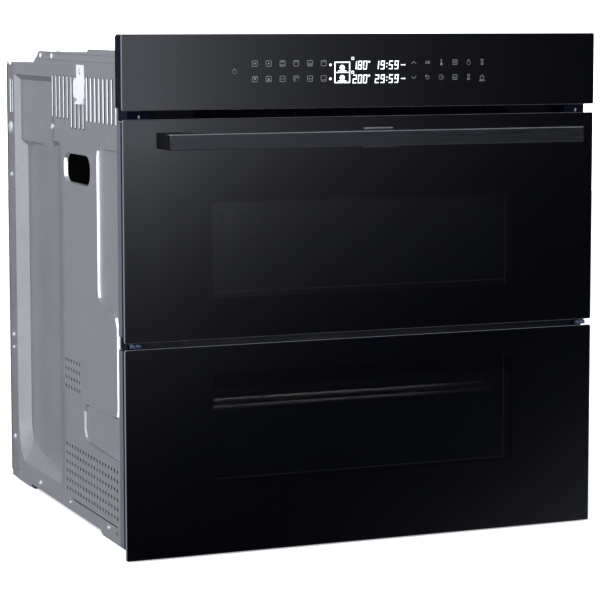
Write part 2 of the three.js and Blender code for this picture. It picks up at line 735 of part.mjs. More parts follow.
function middlePane([bottom, top], grow = 0) {
  const { half, y, below, above } = MIDDLE_PANE;
  const depth = [y[0] - grow, y[1] + grow];
  return block([-half - grow, half + grow], depth, [bottom + below - grow, top - above + grow]);
}

const THROUGH_DOOR = [0, 50];
const LOWER_FRAME = [11, LOWER_TOP - 3.6];
const UPPER_FRAME = [UPPER_BOTTOM + 3.8, UPPER_TOP - 4];
const LOWER_WINDOW = [62, 222];
const UPPER_WINDOW = [285, 417];
const SLOT_X = [262.2, 273.8];
const LEAF_X = [276.4, 290.2];
const LEAF_Y = [4.6, 7.6];
const LEAF_LENGTH = 25;

/** Seats of the split hinge's two leaves in a door frame's edge. */
function leafRecess(z) {
  return both(block([LEAF_X[0] - GAP, LEAF_X[1] + GAP], [0, LEAF_Y[1] + GAP], z));
}

const HINGE_SLOT_Z = [5, 112];
const LIP = { half: 274, front: 10 };

/** The lower frame also has the lip that closes the gap between the two doors. */
function lowerDoorFrame() {
  const top = LOWER_FRAME[1];
  const hingeSlots = both(block(SLOT_X, THROUGH_DOOR, HINGE_SLOT_Z));
  const leafSeat = leafRecess([top - LEAF_LENGTH - 1, top + PAST]);
  const lip = block([-LIP.half, LIP.half], [LIP.front, DOOR_BACK], [top - 2, UPPER_FRAME[0] - GAP]);
  return cut(doorFrame(LOWER_FRAME, LOWER_WINDOW), [hingeSlots, leafSeat]).add(lip);
}

function upperDoorFrame() {
  const bottom = UPPER_FRAME[0];
  const leafSeat = leafRecess([bottom - PAST, bottom + LEAF_LENGTH + 1]);
  return cut(doorFrame(UPPER_FRAME, UPPER_WINDOW), [leafSeat]);
}

const CHEEK = 1.5;
const DOOR_CHANNEL = { z: [14, 110], web: 1.4, webBottom: 31, cap: 4, pin: 1.6 };

/** Channel in the lower door with the pin that the hinge arm turns on. */
function doorHinge() {
  const { z, web, webBottom, cap, pin } = DOOR_CHANNEL;
  const [inside, outside] = [SLOT_X[0] + GAP, SLOT_X[1] - GAP];
  const y = [PANE + 2 * GAP, DOOR_BACK - 0.4];
  const cheeks = [inside, outside - CHEEK].map((x) => block([x, x + CHEEK], y, z));
  const back = block([inside, outside], [y[0], y[0] + web], [webBottom, z[1]]);
  const lid = block([inside, outside], y, [z[1] - cap, z[1]]);
  const axle = rod('x', [HINGE_Y, HINGE_Z], pin, inside + 0.5, outside - 0.5, 12);
  return join([...cheeks, back, lid, axle]);
}

const ARM = { x: [266, 270], eye: 3.2, hole: 1.9, neckBack: 48 };
const ARM_TAIL = [[46, 16], [60, 14], [138, 14], [138, 40], [70, 40], [46, 31]];

/** Flat steel arm, eye at the door's pin and tail in the receiver. */
function hingeArm() {
  const { x, eye, hole, neckBack } = ARM;
  const pivot = [HINGE_Y, HINGE_Z];
  const neck = block(x, [HINGE_Y, neckBack], [HINGE_Z - eye, HINGE_Z + eye]);
  const ring = rod('x', pivot, eye, ...x, 16);
  const tail = prism('x', outline(ARM_TAIL), ...x);
  return cut(join([neck, ring, tail]), [rod('x', pivot, hole, x[0] - 2, x[1] + 2, 12)]);
}

const RECEIVER = { y: [46.5, 150], z: [9, 50] };

function hingeReceiver() {
  const { y, z } = RECEIVER;
  const channel = block(SLOT_X, y, z);
  const roomX = [SLOT_X[0] + CHEEK, SLOT_X[1] - CHEEK];
  const room = block(roomX, [y[0] - 6.5, y[1] - CHEEK], [z[0] + CHEEK, z[1] + PAST]);
  return channel.subtract(room);
}

const KNUCKLE = { radius: 2.6, hole: 1.5, pin: 1.2 };
const LOWER_KNUCKLE = [277, 283];
const UPPER_KNUCKLE = [283.4, 289.4];

function knuckle([from, to]) {
  return rod('x', [SPLIT_HINGE_Y, SPLIT_HINGE_Z], KNUCKLE.radius, from, to, 12);
}

/** Lower half of the hinge between the two doors, with the eye. */
function splitHingeLower() {
  const top = LOWER_FRAME[1];
  const plate = block(LEAF_X, LEAF_Y, [top - LEAF_LENGTH, top + 1.5]);
  const arm = block(LOWER_KNUCKLE, [LEAF_Y[0], LEAF_Y[1] - 1.5], [top, SPLIT_HINGE_Z]);
  const [from, to] = [LOWER_KNUCKLE[0] - 7, LOWER_KNUCKLE[1] + 0.1];
  const hole = rod('x', [SPLIT_HINGE_Y, SPLIT_HINGE_Z], KNUCKLE.hole, from, to, 12);
  return cut(join([plate, arm, knuckle(LOWER_KNUCKLE)]), [hole]);
}

/** Upper half of the hinge between the two doors, with the pin. */
function splitHingeUpper() {
  const bottom = UPPER_FRAME[0];
  const plate = block(LEAF_X, LEAF_Y, [bottom - 1.5, bottom + LEAF_LENGTH]);
  const arm = block(UPPER_KNUCKLE, [LEAF_Y[0], LEAF_Y[1] - 1.5], [SPLIT_HINGE_Z, bottom]);
  const [from, to] = [LOWER_KNUCKLE[0] + 0.4, UPPER_KNUCKLE[0] + 0.6];
  const pin = rod('x', [SPLIT_HINGE_Y, SPLIT_HINGE_Z], KNUCKLE.pin, from, to, 12);
  return join([plate, arm, knuckle(UPPER_KNUCKLE), pin]);
}

// ---------------------------------------------------------------- handle

const EAR = { x: [LEVER.half + 0.5, LEVER.half + 3], reach: 3 };

/** Flat bar with two ears behind it for the release lever. */
function handleBar() {
  const { bottom, top, back, chamfer, half } = BAR;
  const section = outline([
    [HANDLE_FRONT + chamfer, bottom],
    [back, bottom],
    [back, top],
    [HANDLE_FRONT + chamfer, top],
    [HANDLE_FRONT, top - chamfer],
    [HANDLE_FRONT, bottom + chamfer],
  ]);
  const bar = prism('x', section, -half, half);
  const ear = block(EAR.x, [back - 1, LEVER.y + EAR.reach], [LEVER.z - EAR.reach, LEVER.z + EAR.reach]);
  const eye = rod('x', [LEVER.y, LEVER.z], LEVER.eye, -LEVER.half - PAST, LEVER.half + PAST, 12);
  return cut(bar.add(both(ear)), [eye]);
}

const POST_FOOT = 20; // width of a post on the glass
const POST_HEAD = 54; // width of a post behind the bar

function handlePost() {
  const foot = outline([
    [BAR.half, BAR.back + GAP],
    [BAR.half, -GAP],
    [BAR.half - POST_FOOT, -GAP],
    [BAR.half - POST_HEAD, BAR.back + GAP],
  ]);
  return prism('z', foot, BAR.bottom, BAR.top);
}

/** Release lever of the upper door, hinged at its lower edge behind the bar. */
function releaseLever() {
  const { y, z, top, barrel, pin } = LEVER;
  const x = [-LEVER.half, LEVER.half];
  const blade = block(x, [y - 1, y + 1.4], [z - 1, top]);
  const tube = rod('x', [y, z], barrel, ...x, 12);
  const axle = rod('x', [y, z], pin, x[0] - 2.6, x[1] + 2.6, 12);
  const lip = block(x, [y - 1, y + 5], [top - 2, top]);
  return join([blade, tube, axle, lip]);
}

// ---------------------------------------------------------------- everything in place

function addCasing() {
  addPair('side_panel', sidePanel(), galvanised);
  addPair('side_clip', sideClip(), plated);
  addPart('top_cover', topCover(), galvanised);
  addPart('base_pan', basePan(), galvanised);
  addPart('rear_cover', rearCover(), galvanised);
  addPart('front_frame', frontFrame(), enamel);
  addPart('component_deck', componentDeck(), galvanised);
}

function addCavity() {
  addPart('cavity_liner', cavityLiner(), enamel);
  addPart('insulation_blanket', insulationBlanket(), wool);
  addPart('door_seal', doorSeal(), sealFibre);
  addPair('side_rack', sideRack(), chromeWire);
  addPart('wire_shelf', wireShelf(), chromeWire);
  addPart('divider_plate', dividerPlate(), enamel);
  addPart('upper_lamp', ovenLamp(UPPER_LAMP_Z), lampGlass);
  addPart('lower_lamp', ovenLamp(LOWER_LAMP_Z), lampGlass);
}

function addHeatAndAir() {
  addPart('grill_element', loopedElement(GRILL), heater);
  addPart('floor_element', loopedElement(FLOOR_HEAT), heater);
  for (const [zone, z, half] of [['upper', UPPER_FAN_Z, 82], ['lower', LOWER_FAN_Z, 80]]) {
    addPart(`${zone}_ring_element`, ringElement(z), heater);
    addPart(`${zone}_fan`, convectionFan(z), fanSteel);
    addPart(`${zone}_fan_motor`, fanMotor(z), motorSteel);
    addPart(`${zone}_fan_cover`, fanCover(z, half), enamel);
  }
  addPart('air_duct', airDuct(), galvanised);
  addPart('cooling_housing', coolingHousing(), galvanised);
  addPart('cooling_impeller', coolingImpeller(), fanSteel);
  addPart('cooling_motor', coolingMotor(), motorSteel);
  addPart('power_board', powerBoard(), board);
  addPart('terminal_box', terminalBox(), blackPlastic);
}

function addControlPanel() {
  addPart('control_glass', frontPane(FRONT_HALF, CONTROL_BOTTOM, FRONT_TOP), blackGlass);
  addPart('control_frame', controlFrame(), blackPlastic);
  addPart('touch_board', touchBoard(), board);
  addPart('display_module', displayModule(), blackPlastic);
}

function addDoors() {
  addPart('lower_outer_glass', frontPane(DOOR_HALF, LOWER_BOTTOM, LOWER_TOP), blackGlass);
  addPart('lower_middle_glass', middlePane(LOWER_FRAME), clearGlass);
  addPart('lower_inner_glass', innerPane(LOWER_FRAME), clearGlass);
  addPart('lower_door_frame', lowerDoorFrame(), blackPlastic);
  addPair('door_hinge', doorHinge(), plated);
  addPair('hinge_arm', hingeArm(), plated);
  addPair('hinge_receiver', hingeReceiver(), plated);
  addPair('split_hinge_lower', splitHingeLower(), plated);
  addPart('upper_outer_glass', frontPane(DOOR_HALF, UPPER_BOTTOM, UPPER_TOP), blackGlass);
  addPart('upper_middle_glass', middlePane(UPPER_FRAME), clearGlass);
  addPart('upper_inner_glass', innerPane(UPPER_FRAME), clearGlass);
  addPart('upper_door_frame', upperDoorFrame(), blackPlastic);
  addPair('split_hinge_upper', splitHingeUpper(), plated);
}

function addHandle() {
  addPart('handle_bar', handleBar(), darkMetal);
  addPair('handle_post', handlePost(), blackPlastic);
  addPart('release_lever', releaseLever(), darkMetal);
}

addCasing();
addCavity();
addHeatAndAir();
addControlPanel();
addDoors();
addHandle();

export default oven;
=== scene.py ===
"""Looks of the built-in double oven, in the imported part's frame: metres, X right, Y inwards, Z up."""

import json
import math

import bmesh
import bpy
from mathutils import Matrix, Vector
from mathutils.geometry import delaunay_2d_cdt


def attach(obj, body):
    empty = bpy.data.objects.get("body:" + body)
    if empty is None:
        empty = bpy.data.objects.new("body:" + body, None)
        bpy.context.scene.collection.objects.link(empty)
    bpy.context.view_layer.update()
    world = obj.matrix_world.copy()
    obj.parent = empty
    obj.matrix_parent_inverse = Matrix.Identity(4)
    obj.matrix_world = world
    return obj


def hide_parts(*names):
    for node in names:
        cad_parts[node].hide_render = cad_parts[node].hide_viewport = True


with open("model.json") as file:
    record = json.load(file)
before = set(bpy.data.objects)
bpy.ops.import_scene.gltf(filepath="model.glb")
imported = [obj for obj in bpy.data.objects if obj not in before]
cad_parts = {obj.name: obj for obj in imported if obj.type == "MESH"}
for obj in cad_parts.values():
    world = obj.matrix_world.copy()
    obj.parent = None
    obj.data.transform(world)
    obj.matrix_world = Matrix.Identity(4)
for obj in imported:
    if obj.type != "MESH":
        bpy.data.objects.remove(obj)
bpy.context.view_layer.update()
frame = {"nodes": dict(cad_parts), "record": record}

# ------------------------------------------------------------------ sizes, in millimetres
DEPTH_SHIFT = 260  # drawing depth counts from the door glass, the row frame from the middle
BODY = 278  # casing half width
SHEET = 1.2
GLASS = 4
FRONT_HALF = 297.5
DOOR_HALF = 296.8
CONTROL_Z = (511, 596)
UPPER_Z = (250.2, 501)
LOWER_Z = (1.2, 242.6)
UPPER_WINDOW = (192, 296, 406)
LOWER_WINDOW = (191, 83.6, 211)
BAR_HALF, BAR_Z, BAR_FRONT, BAR_BACK = 258, (468.5, 486.5), -48, -36.5
SHARP = math.radians(22)


def at(x, y, z):
    """A drawing point in millimetres as a row frame vector in metres."""
    return Vector((x, y - DEPTH_SHIFT, z)) / 1000


# ------------------------------------------------------------------ materials
class Look:
    """A node material: varied colour, varied roughness and a fine bump round one Principled shader."""

    def __init__(self, name, **fixed):
        self.material = bpy.data.materials.new(name)
        self.material.use_nodes = True
        self.tree = self.material.node_tree
        self.shader = self.tree.nodes["Principled BSDF"]
        self.place = self.node("ShaderNodeTexCoord").outputs["Object"]
        for socket, value in fixed.items():
            self.shader.inputs[socket.replace("_", " ")].default_value = value

    def node(self, kind, **settings):
        made = self.tree.nodes.new(kind)
        for key, value in settings.items():
            setattr(made, key, value)
        return made

    def link(self, output, target):
        self.tree.links.new(output, target)

    def stretched(self, stretch):
        mapping = self.node("ShaderNodeMapping")
        mapping.inputs["Scale"].default_value = stretch
        self.link(self.place, mapping.inputs["Vector"])
        return mapping.outputs["Vector"]

    def noise(self, scale, detail=3.0, stretch=(1, 1, 1), rough=0.55):
        made = self.node("ShaderNodeTexNoise")
        made.inputs["Scale"].default_value = scale
        made.inputs["Detail"].default_value = detail
        made.inputs["Roughness"].default_value = rough
        self.link(self.stretched(stretch), made.inputs["Vector"])
        return made.outputs["Fac"]

    def cells(self, scale, feature="F1", stretch=(1, 1, 1)):
        made = self.node("ShaderNodeTexVoronoi", feature=feature)
        made.inputs["Scale"].default_value = scale
        self.link(self.stretched(stretch), made.inputs["Vector"])
        if feature == "F1":
            split = self.node("ShaderNodeSeparateColor")
            self.link(made.outputs["Color"], split.inputs["Color"])
            return split.outputs["Red"]
        return made.outputs["Distance"]

    def spread(self, value, low, high, start=0.3, end=0.7):
        made = self.node("ShaderNodeMapRange")
        self.link(value, made.inputs["Value"])
        numbers = (("From Min", start), ("From Max", end), ("To Min", low), ("To Max", high))
        for socket, number in numbers:
            made.inputs[socket].default_value = number
        return made.outputs["Result"]

    def colour(self, value, stops):
        made = self.node("ShaderNodeValToRGB")
        ramp = made.color_ramp
        while len(ramp.elements) < len(stops):
            ramp.elements.new(0.5)
        for element, (position, rgb) in zip(ramp.elements, stops):
            element.position = position
            element.color = (*rgb, 1)
        self.link(value, made.inputs["Fac"])
        self.link(made.outputs["Color"], self.shader.inputs["Base Color"])

    def rough(self, value, low, high):
        self.link(self.spread(value, low, high), self.shader.inputs["Roughness"])

    def bump(self, value, strength, distance=0.0002):
        made = self.node("ShaderNodeBump")
        made.inputs["Strength"].default_value = strength
        made.inputs["Distance"].default_value = distance
        self.link(value, made.inputs["Height"])
        self.link(made.outputs["Normal"], self.shader.inputs["Normal"])


def shades(rgb, spread):
    """Ramp stops from a little darker to a little lighter than a colour."""
    return [
        (0.25, tuple(c * (1 - spread) for c in rgb)),
        (0.75, tuple(min(1, c * (1 + spread)) for c in rgb)),
    ]


def plain_look(name, rgb, rough, spread=0.08, scale=30, grain=600, bump=0.1, stretch=(1, 1, 1), **fixed):
    """Broad colour clouds, finer roughness patches and a fine grain."""
    made = Look(name, **fixed)
    made.colour(made.noise(scale, 4), shades(rgb, spread))
    made.rough(made.noise(scale * 3, 5, stretch), *rough)
    made.bump(made.noise(grain, 3, stretch), bump)
    return made


def galvanised_look(name, rgb, rough):
    """Zinc-coated sheet: faint crystals of a few millimetres over a slow stain."""
    made = Look(name, Metallic=0.82)
    crystals = made.cells(160)
    made.colour(crystals, shades(rgb, 0.025))
    mix = made.node("ShaderNodeMath", operation="ADD")
    made.link(made.spread(crystals, -0.03, 0.03, 0, 1), mix.inputs[0])
    made.link(made.noise(14, 5), mix.inputs[1])
    made.rough(mix.outputs[0], *rough)
    made.bump(made.noise(35, 4), 0.04, 0.0015)
    return made


def glass_look(name, rgb, alpha=1.0, smear=(0.02, 0.07), **fixed):
    """Glass with faint wiping smears in its polish."""
    made = Look(name, Alpha=alpha, **fixed)
    made.colour(made.noise(6, 2), shades(rgb, 0.1))
    made.rough(made.noise(9, 6, (1, 1, 2.5)), *smear)
    made.bump(made.noise(5, 1), 0.03, 0.0004)
    return made


def brushed_look(name, rgb, rough, **fixed):
    """Metal brushed along X, with the odd deeper line."""
    made = Look(name, **fixed)
    fine = made.noise(60, 6, (0.6, 30, 30), 0.7)
    made.colour(fine, shades(rgb, 0.22))
    made.rough(made.noise(35, 5, (0.6, 22, 22)), *rough)
    made.bump(fine, 0.35, 0.00015)
    return made


def printed_look(name, rgb, glow=0.0):
    """Ink on the back of the glass, a little uneven in density."""
    made = Look(name, Emission_Strength=glow)
    made.colour(made.noise(420, 3), shades(rgb, 0.12))
    made.rough(made.noise(90, 3), 0.25, 0.5)
    made.shader.inputs["Emission Color"].default_value = (*rgb, 1)
    return made


def board_look():
    """Green circuit board with lighter traces."""
    made = Look("circuit_board", Specular_IOR_Level=0.5)
    traces = made.cells(260, "DISTANCE_TO_EDGE", (1, 1, 0.4))
    made.colour(traces, [(0.03, (0.05, 0.2, 0.09)), (0.12, (0.02, 0.1, 0.045))])
    made.rough(made.noise(80, 4), 0.3, 0.55)
    made.bump(traces, 0.2)
    return made


def braid_look():
    """Woven glass-fibre sleeve of the door seal."""
    made = Look("seal_braid", Sheen_Weight=0.2)
    wave = made.node("ShaderNodeTexWave", bands_direction="DIAGONAL")
    wave.inputs["Scale"].default_value = 240
    made.link(made.place, wave.inputs["Vector"])
    made.colour(wave.outputs["Fac"], [(0.2, (0.012, 0.012, 0.013)), (0.8, (0.06, 0.06, 0.062))])
    made.rough(made.noise(200, 4), 0.7, 0.95)
    made.bump(wave.outputs["Fac"], 0.6, 0.0006)
    return made


LOOKS = {
    "galvanised_steel": galvanised_look("galvanised_sheet", (0.295, 0.3, 0.298), (0.3, 0.4)),
    # paler, less metallic copy of the zinc sheet: painted highlight on faces that turn towards the front
    "galvanised_cut": plain_look("galvanised_cut", (0.78, 0.79, 0.8), (0.3, 0.5), Metallic=0.15),
    "bright_plated": plain_look("bright_plated", (0.62, 0.63, 0.64), (0.28, 0.45), bump=0.05, Metallic=0.3),
    "plated_steel": plain_look("zinc_plated", (0.62, 0.64, 0.66), (0.2, 0.4), bump=0.2, Metallic=0.9),
    "hinge_steel": plain_look("hinge_steel", (0.05, 0.065, 0.11), (0.25, 0.42), Metallic=0.7),
    "black_glass": glass_look("black_glass", (0.0003, 0.0004, 0.001), IOR=1.45),
    "window_glass": glass_look("window_glass", (0.0003, 0.0004, 0.001), 0.5, IOR=1.72),
    "lower_window": glass_look("lower_window", (0.0003, 0.0004, 0.001), 0.5, IOR=1.52),
    "clear_glass": glass_look("clear_glass", (0.02, 0.024, 0.026), 0.2, IOR=1.3),
    "glass_edge": plain_look("ground_glass_edge", (0.12, 0.125, 0.14), (0.3, 0.5), bump=0.25, IOR=1.4),
    "spacer_grey": plain_look("spacer_grey", (0.06, 0.065, 0.075), (0.4, 0.6), IOR=1.35),
    "frame_edge": plain_look("frame_edge", (0.055, 0.065, 0.08), (0.35, 0.5), IOR=1.4),
    # black ink on the glass; also used as painted shade on the plates behind the side openings and in the
    # carry hole
    "black_print_and_shade": plain_look("black_print_and_shade", (0.0015, 0.0015, 0.002), (0.35, 0.5), scale=60,
                             Specular_IOR_Level=0.1),
    "black_plastic": plain_look("black_plastic", (0.003, 0.0033, 0.0045), (0.38, 0.58), bump=0.25,
                                Specular_IOR_Level=0.12),
    "navy_trim": plain_look("navy_trim", (0.0015, 0.0025, 0.008), (0.5, 0.7), bump=0.2, IOR=1.12),
    "dark_anodised": brushed_look("dark_anodised", (0.047, 0.048, 0.052), (0.16, 0.3), Metallic=1.0),
    # grey metal: painted highlight on the handle's upper bevels and the lever's top edge; also the plain
    # metal of the gap pins
    "bar_edge": plain_look("bar_edge", (0.2, 0.205, 0.215), (0.3, 0.45), Metallic=0.8),
    "enamel": plain_look("black_enamel", (0.014, 0.015, 0.018), (0.12, 0.3), 0.3, 160, 900, Coat_Weight=0.3),
    "shelf_wire": plain_look("shelf_wire", (0.5, 0.505, 0.52), (0.45, 0.6), bump=0.05, Metallic=0.45),
    "chrome_wire": plain_look("chrome_wire", (0.6, 0.61, 0.62), (0.08, 0.24), bump=0.05, Metallic=0.95),
    "heater_sheath": plain_look("heater_sheath", (0.09, 0.08, 0.075), (0.38, 0.6), 0.35, Metallic=0.6),
    "seal_rubber": braid_look(),
    "mineral_wool": plain_look("mineral_wool", (0.62, 0.57, 0.42), (0.85, 1.0), 0.3, 60, 260, 0.9),
    "circuit_board": board_look(),
    "motor_steel": plain_look("motor_steel", (0.4, 0.41, 0.42), (0.3, 0.48), Metallic=0.8),
    "fan_metal": plain_look("fan_metal", (0.48, 0.49, 0.5), (0.25, 0.42), Metallic=0.85),
    "lamp_glass": glass_look("lamp_glass", (0.7, 0.68, 0.6), 0.55, (0.05, 0.2), IOR=1.4),
    "foot_rubber": plain_look("foot_rubber", (0.01, 0.01, 0.011), (0.7, 0.9), bump=0.5),
    "brass": plain_look("brass", (0.55, 0.38, 0.14), (0.25, 0.45), Metallic=0.9),
    "print_white": printed_look("display_white", (0.86, 0.9, 0.95), 1.0),
    "print_grey": printed_look("symbol_grey", (0.12, 0.123, 0.13), 0.03),
}

# ------------------------------------------------------------------ bmesh shapes
def bevelled(bm, width, segments=2):
    if width:
        bmesh.ops.bevel(
            bm, geom=bm.edges[:], offset=width / 1000, segments=segments, profile=0.5, affect="EDGES"
        )
    return bm


def box(x, y, z, bevel=0.0, segments=2):
    bm = bmesh.new()
    low, high = at(x[0], y[0], z[0]), at(x[1], y[1], z[1])
    scale = Matrix.Diagonal((*(high - low), 1))
    bmesh.ops.create_cube(bm, size=1, matrix=Matrix.Translation((low + high) / 2) @ scale)
    return bevelled(bm, bevel, segments)


def skin(bm, rings, closed=True):
    """Faces between each row of vertices and the next; closed rows are rings."""
    for lower, upper in zip(rings, rings[1:]):
        count = len(lower)
        for i in range(count if closed else count - 1):
            j = (i + 1) % count
            bm.faces.new((lower[i], lower[j], upper[j], upper[i]))


def turn_edges(bm, inward):
    """Gives a sheet its thickness at the border, along a vector."""
    border = [e for e in bm.edges if len(e.link_faces) == 1]
    grown = bmesh.ops.extrude_edge_only(bm, edges=border)["geom"]
    bmesh.ops.translate(bm, verts=[g for g in grown if isinstance(g, bmesh.types.BMVert)], vec=inward)


def lathe(axis, centre, profile, sides=20):
    """Turned solid; profile is (radius, height) in millimetres, from one end of the axis to the other."""
    bm = bmesh.new()
    rings = []
    for radius, height in profile:
        ring = []
        for i in range(sides):
            a = 2 * math.pi * i / sides
            c, s = radius * math.cos(a), radius * math.sin(a)
            if axis == "x":
                ring.append(bm.verts.new(at(height, centre[0] + c, centre[1] + s)))
            elif axis == "y":
                ring.append(bm.verts.new(at(centre[0] + c, height, centre[1] + s)))
            else:
                ring.append(bm.verts.new(at(centre[0] + c, centre[1] + s, height)))
        rings.append(ring)
    skin(bm, rings)
    bm.faces.new(rings[0][::-1])
    bm.faces.new(rings[-1])
    bmesh.ops.recalc_face_normals(bm, faces=bm.faces)
    return bm


def screw(axis, centre, surface, outward, radius=4.2, height=2.2):
    """Domed head with a washer rim and a round recess for the driver."""
    steps = [(1.25, 0), (1.25, 0.25), (1.0, 0.3), (0.96, 0.62), (0.7, 0.92), (0.42, 1), (0.36, 0.5),
             (0.04, 0.42)]
    return lathe(axis, centre, [(radius * r, surface + outward * height * h) for r, h in steps])


def prism(axis, outline, low, high, bevel=0.0, segments=2):
    """Outline drawn in the plane across the axis, as a solid between two heights."""
    bm = bmesh.new()

    def point(a, b, height):
        order = {"x": (height, a, b), "y": (a, height, b), "z": (a, b, height)}
        return bm.verts.new(at(*order[axis]))

    lower = [point(a, b, low) for a, b in outline]
    upper = [point(a, b, high) for a, b in outline]
    bm.faces.new(lower)
    bm.faces.new(upper[::-1])
    skin(bm, [lower, upper])
    bmesh.ops.recalc_face_normals(bm, faces=bm.faces)
    return bevelled(bm, bevel, segments)


def tube(points, radius, sides=10, closed=False):
    """Round wire along drawing points."""
    bm = bmesh.new()
    path = [at(*p) for p in points]
    count = len(path)
    rings = []
    up = Vector((0.31, 0.17, 0.93))
    for i, p in enumerate(path):
        before = path[i - 1] if i or closed else p
        after = path[(i + 1) % count] if i < count - 1 or closed else p
        along = (after - before).normalized()
        across = along.cross(up).normalized()
        up = across.cross(along).normalized()
        ring = []
        for k in range(sides):
            a = 2 * math.pi * k / sides
            ring.append(bm.verts.new(p + (across * math.cos(a) + up * math.sin(a)) * radius / 1000))
        rings.append(ring)
    skin(bm, rings + rings[:1] if closed else rings)
    if not closed:
        bm.faces.new(rings[0][::-1])
        bm.faces.new(rings[-1])
    bmesh.ops.recalc_face_normals(bm, faces=bm.faces)
    return bm


class Piece:
    """Collects shapes, each with its look, and becomes one object."""

    def __init__(self):
        self.bm = bmesh.new()
        self.looks = []

    def index(self, look):
        if look not in self.looks:
            self.looks.append(look)
        return self.looks.index(look)

    def add(self, bm, look, choose=None):
        """choose(face), where given, names the look of a face, or returns None for the plain one."""
        for face in bm.faces:
            face.smooth = True
            other = choose(face) if choose else None
            face.material_index = self.index(other or look)
        mesh = bpy.data.meshes.new("collected")
        bm.to_mesh(mesh)
        bm.free()
        self.bm.from_mesh(mesh)
        bpy.data.meshes.remove(mesh)
        return self

    def flipped(self):
        """A mirror image across the middle plane."""
        other = Piece()
        other.looks = list(self.looks)
        other.bm = self.bm.copy()
        bmesh.ops.transform(other.bm, matrix=Matrix.Diagonal((-1, 1, 1, 1)), verts=other.bm.verts)
        bmesh.ops.reverse_faces(other.bm, faces=other.bm.faces)
        return other

    def place(self, name, body, slot, *replaced):
        mesh = bpy.data.meshes.new(name)
        self.bm.to_mesh(mesh)
        self.bm.free()
        for look in self.looks:
            mesh.materials.append(LOOKS[look].material)
        mesh.set_sharp_from_angle(angle=SHARP)
        made = bpy.data.objects.new(name, mesh)
        bpy.context.scene.collection.objects.link(made)
        flat_first = made.modifiers.new("even_faces", "WEIGHTED_NORMAL")
        flat_first.keep_sharp = True
        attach(made, body)
        if replaced:
            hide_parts(*replaced)
        return made


def place_pair(piece, name, body, slot, replaced=()):
    """Places a right-hand piece and its mirror image; replaced holds node names without their side."""
    other = piece.flipped()
    right = piece.place(name + "_right", body, slot, *[n + "_right" for n in replaced])
    left = other.place(name + "_left", body, slot, *[n + "_left" for n in replaced])
    return right, left


# ------------------------------------------------------------------ pressed sheet
def inside(point, polygon):
    a, b = point
    found = False
    last = polygon[-1]
    for here in polygon:
        if (here[1] > b) != (last[1] > b):
            if a < (last[0] - here[0]) * (b - here[1]) / (last[1] - here[1]) + here[0]:
                found = not found
        last = here
    return found


def dense(line, step, closed):
    """The same line with points no further apart than step."""
    points = []
    ends = list(zip(line, line[1:] + line[:1])) if closed else list(zip(line, line[1:]))
    for (a0, b0), (a1, b1) in ends:
        count = max(1, round(math.hypot(a1 - a0, b1 - b0) / step))
        points += [(a0 + (a1 - a0) * i / count, b0 + (b1 - b0) * i / count) for i in range(count)]
    return points if closed else points + [line[-1]]


def round_rect(a, b, radius, steps=4):
    corners = ((a[1] - radius, b[0] + radius, -90), (a[1] - radius, b[1] - radius, 0),
               (a[0] + radius, b[1] - radius, 90), (a[0] + radius, b[0] + radius, 180))
    points = []
    for ca, cb, start in corners:
        for i in range(steps + 1):
            turn = math.radians(start + 90 * i / steps)
            points.append((ca + radius * math.cos(turn), cb + radius * math.sin(turn)))
    return points


def round_hole(a, b, radius, sides=8):
    turns = [2 * math.pi * (i + 0.5) / sides for i in range(sides)]
    return [(a + radius * math.cos(t), b + radius * math.sin(t)) for t in turns]


def pressed(outline, holes, guides, depth, where, grid=12):
    """Sheet with holes, sunk by depth(a, b); guides are the fold lines and where(a, b, depth) its place."""
    points, edges = [], []

    def line(polygon, closed):
        first, count = len(points), len(polygon)
        points.extend(Vector(p) for p in polygon)
        for i in range(count if closed else count - 1):
            edges.append((first + i, first + (i + 1) % count))

    line(dense(outline, grid, True), True)
    for hole in holes:
        line(hole, True)
    for guide in guides:
        line(dense(guide, 6, False), False)
    spans = [(min(p[k] for p in outline), max(p[k] for p in outline)) for k in (0, 1)]
    cells = [max(1, round((high - low) / grid)) for low, high in spans]
    for i in range(1, cells[0]):
        for j in range(1, cells[1]):
            a = spans[0][0] + (spans[0][1] - spans[0][0]) * (i + 0.5 * (j % 2)) / cells[0]
            b = spans[1][0] + (spans[1][1] - spans[1][0]) * j / cells[1]
            if inside((a, b), outline):
                points.append(Vector((a, b)))
    verts, _, faces, *_ = delaunay_2d_cdt(points, edges, [], 0, 1e-4)
    bounds = [(min(p[0] for p in h), max(p[0] for p in h), min(p[1] for p in h), max(p[1] for p in h), h)
              for h in holes]
    bm = bmesh.new()
    made = [bm.verts.new(where(v.x, v.y, depth(v.x, v.y))) for v in verts]
    for face in faces:
        a = sum(verts[i].x for i in face) / len(face)
        b = sum(verts[i].y for i in face) / len(face)
        if not inside((a, b), outline):
            continue
        if any(a0 < a < a1 and b0 < b < b1 and inside((a, b), h) for a0, a1, b0, b1, h in bounds):
            continue
        bm.faces.new([made[i] for i in face])
    bmesh.ops.delete(bm, geom=[v for v in bm.verts if not v.link_faces], context="VERTS")
    inward = where(0, 0, SHEET) - where(0, 0, 0)
    outward = sum((f.normal * f.calc_area() for f in bm.faces if not f.normal_update()), Vector())
    if outward.dot(inward) > 0:
        bmesh.ops.reverse_faces(bm, faces=bm.faces)
    turn_edges(bm, inward)
    return bm


def clamp(value):
    return max(0.0, min(1.0, value))


def smooth(value):
    t = clamp(value)
    return t * t * (3 - 2 * t)


